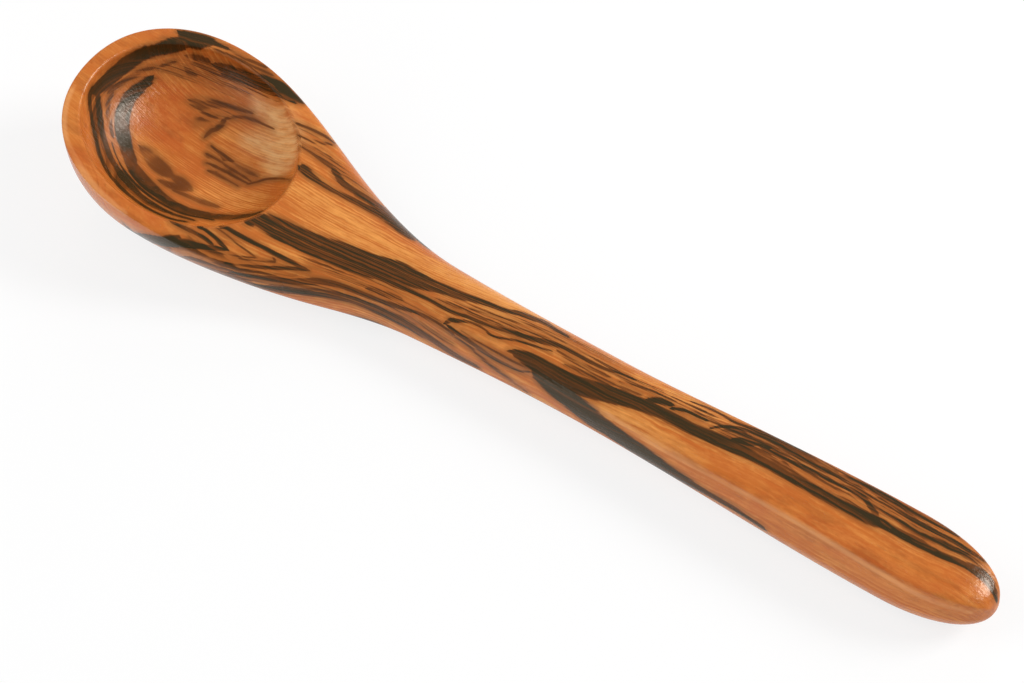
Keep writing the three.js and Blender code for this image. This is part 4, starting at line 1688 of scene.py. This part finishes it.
# %% [markdown]
# ## The table
#
# The photograph is taken on white, with only a faint shadow under the spoon. A white plane in this
# light would turn out grey, so the plane also glows. The glow shows only to the camera, in the gloss
# and through clear things: if it lit the spoon, the underside would be too bright.

# %% Pale table
TABLE_SIZE = 3.0
TABLE_WHITE = (0.96, 0.96, 0.96, 1)
PAPER_ROUGHNESS = 0.9
PAPER_GLOSS = 0.1
GLOW_WHITE = (1, 1, 1, 1)
GLOW_STRENGTH = 1.0
GLOW_SHARE = 0.8
GLOW_SHOWS_IN = ("Is Camera Ray", "Is Glossy Ray", "Is Transmission Ray")

table_mesh = bpy.data.meshes.new("pale_table")
half = TABLE_SIZE / 2
corners = [(-half, -half, 0), (half, -half, 0), (half, half, 0), (-half, half, 0)]
table_mesh.from_pydata(corners, [], [(0, 1, 2, 3)])
table = bpy.data.objects.new("pale_table", table_mesh)
bpy.context.scene.collection.objects.link(table)

paper = bpy.data.materials.new("pale_paper")
paper.use_nodes = True
paper_nodes = paper.node_tree.nodes
paper_shader = paper_nodes["Principled BSDF"]
plug(paper_shader.inputs["Base Color"], TABLE_WHITE)
plug(paper_shader.inputs["Roughness"], PAPER_ROUGHNESS)
plug(paper_shader.inputs["Specular IOR Level"], PAPER_GLOSS)
glow = paper_nodes.new("ShaderNodeEmission")
plug(glow.inputs["Color"], GLOW_WHITE)
plug(glow.inputs["Strength"], GLOW_STRENGTH)
rays = paper_nodes.new("ShaderNodeLightPath").outputs
seen = sums("MAXIMUM", *(rays[kind] for kind in GLOW_SHOWS_IN), board=paper_nodes)
whiten = paper_nodes.new("ShaderNodeMixShader")
plug(whiten.inputs["Fac"], sums("MULTIPLY", seen, GLOW_SHARE, board=paper_nodes))
plug(whiten.inputs[1], paper_shader.outputs[0])
plug(whiten.inputs[2], glow.outputs[0])
plug(paper_nodes["Material Output"].inputs["Surface"], whiten.outputs[0])
table_mesh.materials.append(paper)
print(f"table {TABLE_SIZE} m wide, paper with {len(paper_nodes)} nodes")

# %% [markdown]
# ## Sky and lamps
#
# The light is even: a dim white sky and large soft lamps. The lamp on the right lights the left wall of
# the hollow and makes its highlight, and the low one in front draws the gloss along the side. The other
# two only fill the shadows, so they are kept out of the gloss, where they would leave spots of their own.

# %% Sky and lamps
SKY_WHITE = (1, 1, 1, 1)
SKY_STRENGTH = 0.28
LAMPS = {
    "left_above": {"right": -0.6, "away": 0.0, "up": 0.65, "size": 0.6, "power": 2.8, "in_gloss": False},
    "low_front": {"right": -0.62, "away": -0.46, "up": 0.2, "size": 0.5, "power": 1.2, "in_gloss": True},
    "right_window": {"right": 0.66, "away": 0.1, "up": 0.48, "size": 0.3, "power": 5.2, "in_gloss": True},
    "behind": {"right": 0.1, "away": 0.8, "up": 0.4, "size": 0.5, "power": 1.4, "in_gloss": False},
}

sky = bpy.data.worlds.new("even_sky")
sky.use_nodes = True
plug(sky.node_tree.nodes["Background"].inputs["Color"], SKY_WHITE)
plug(sky.node_tree.nodes["Background"].inputs["Strength"], SKY_STRENGTH)
bpy.context.scene.world = sky


def lamp(name, right, away, up, size, power, in_gloss):
    """A square soft lamp that faces the spoon, placed in metres as seen from the camera."""
    ahead = Vector((-to_right.y, to_right.x, 0.0))
    place = to_right * right + ahead * away + Vector((0, 0, up))
    data = bpy.data.lights.new(name, "AREA")
    data.size = size
    data.energy = power
    light = bpy.data.objects.new(name, data)
    light.location = place
    light.rotation_euler = place.to_track_quat("Z", "Y").to_euler()
    light.visible_glossy = in_gloss
    bpy.context.scene.collection.objects.link(light)


for name, settings in LAMPS.items():
    lamp(name, **settings)
bpy.context.scene.view_settings.view_transform = "Standard"
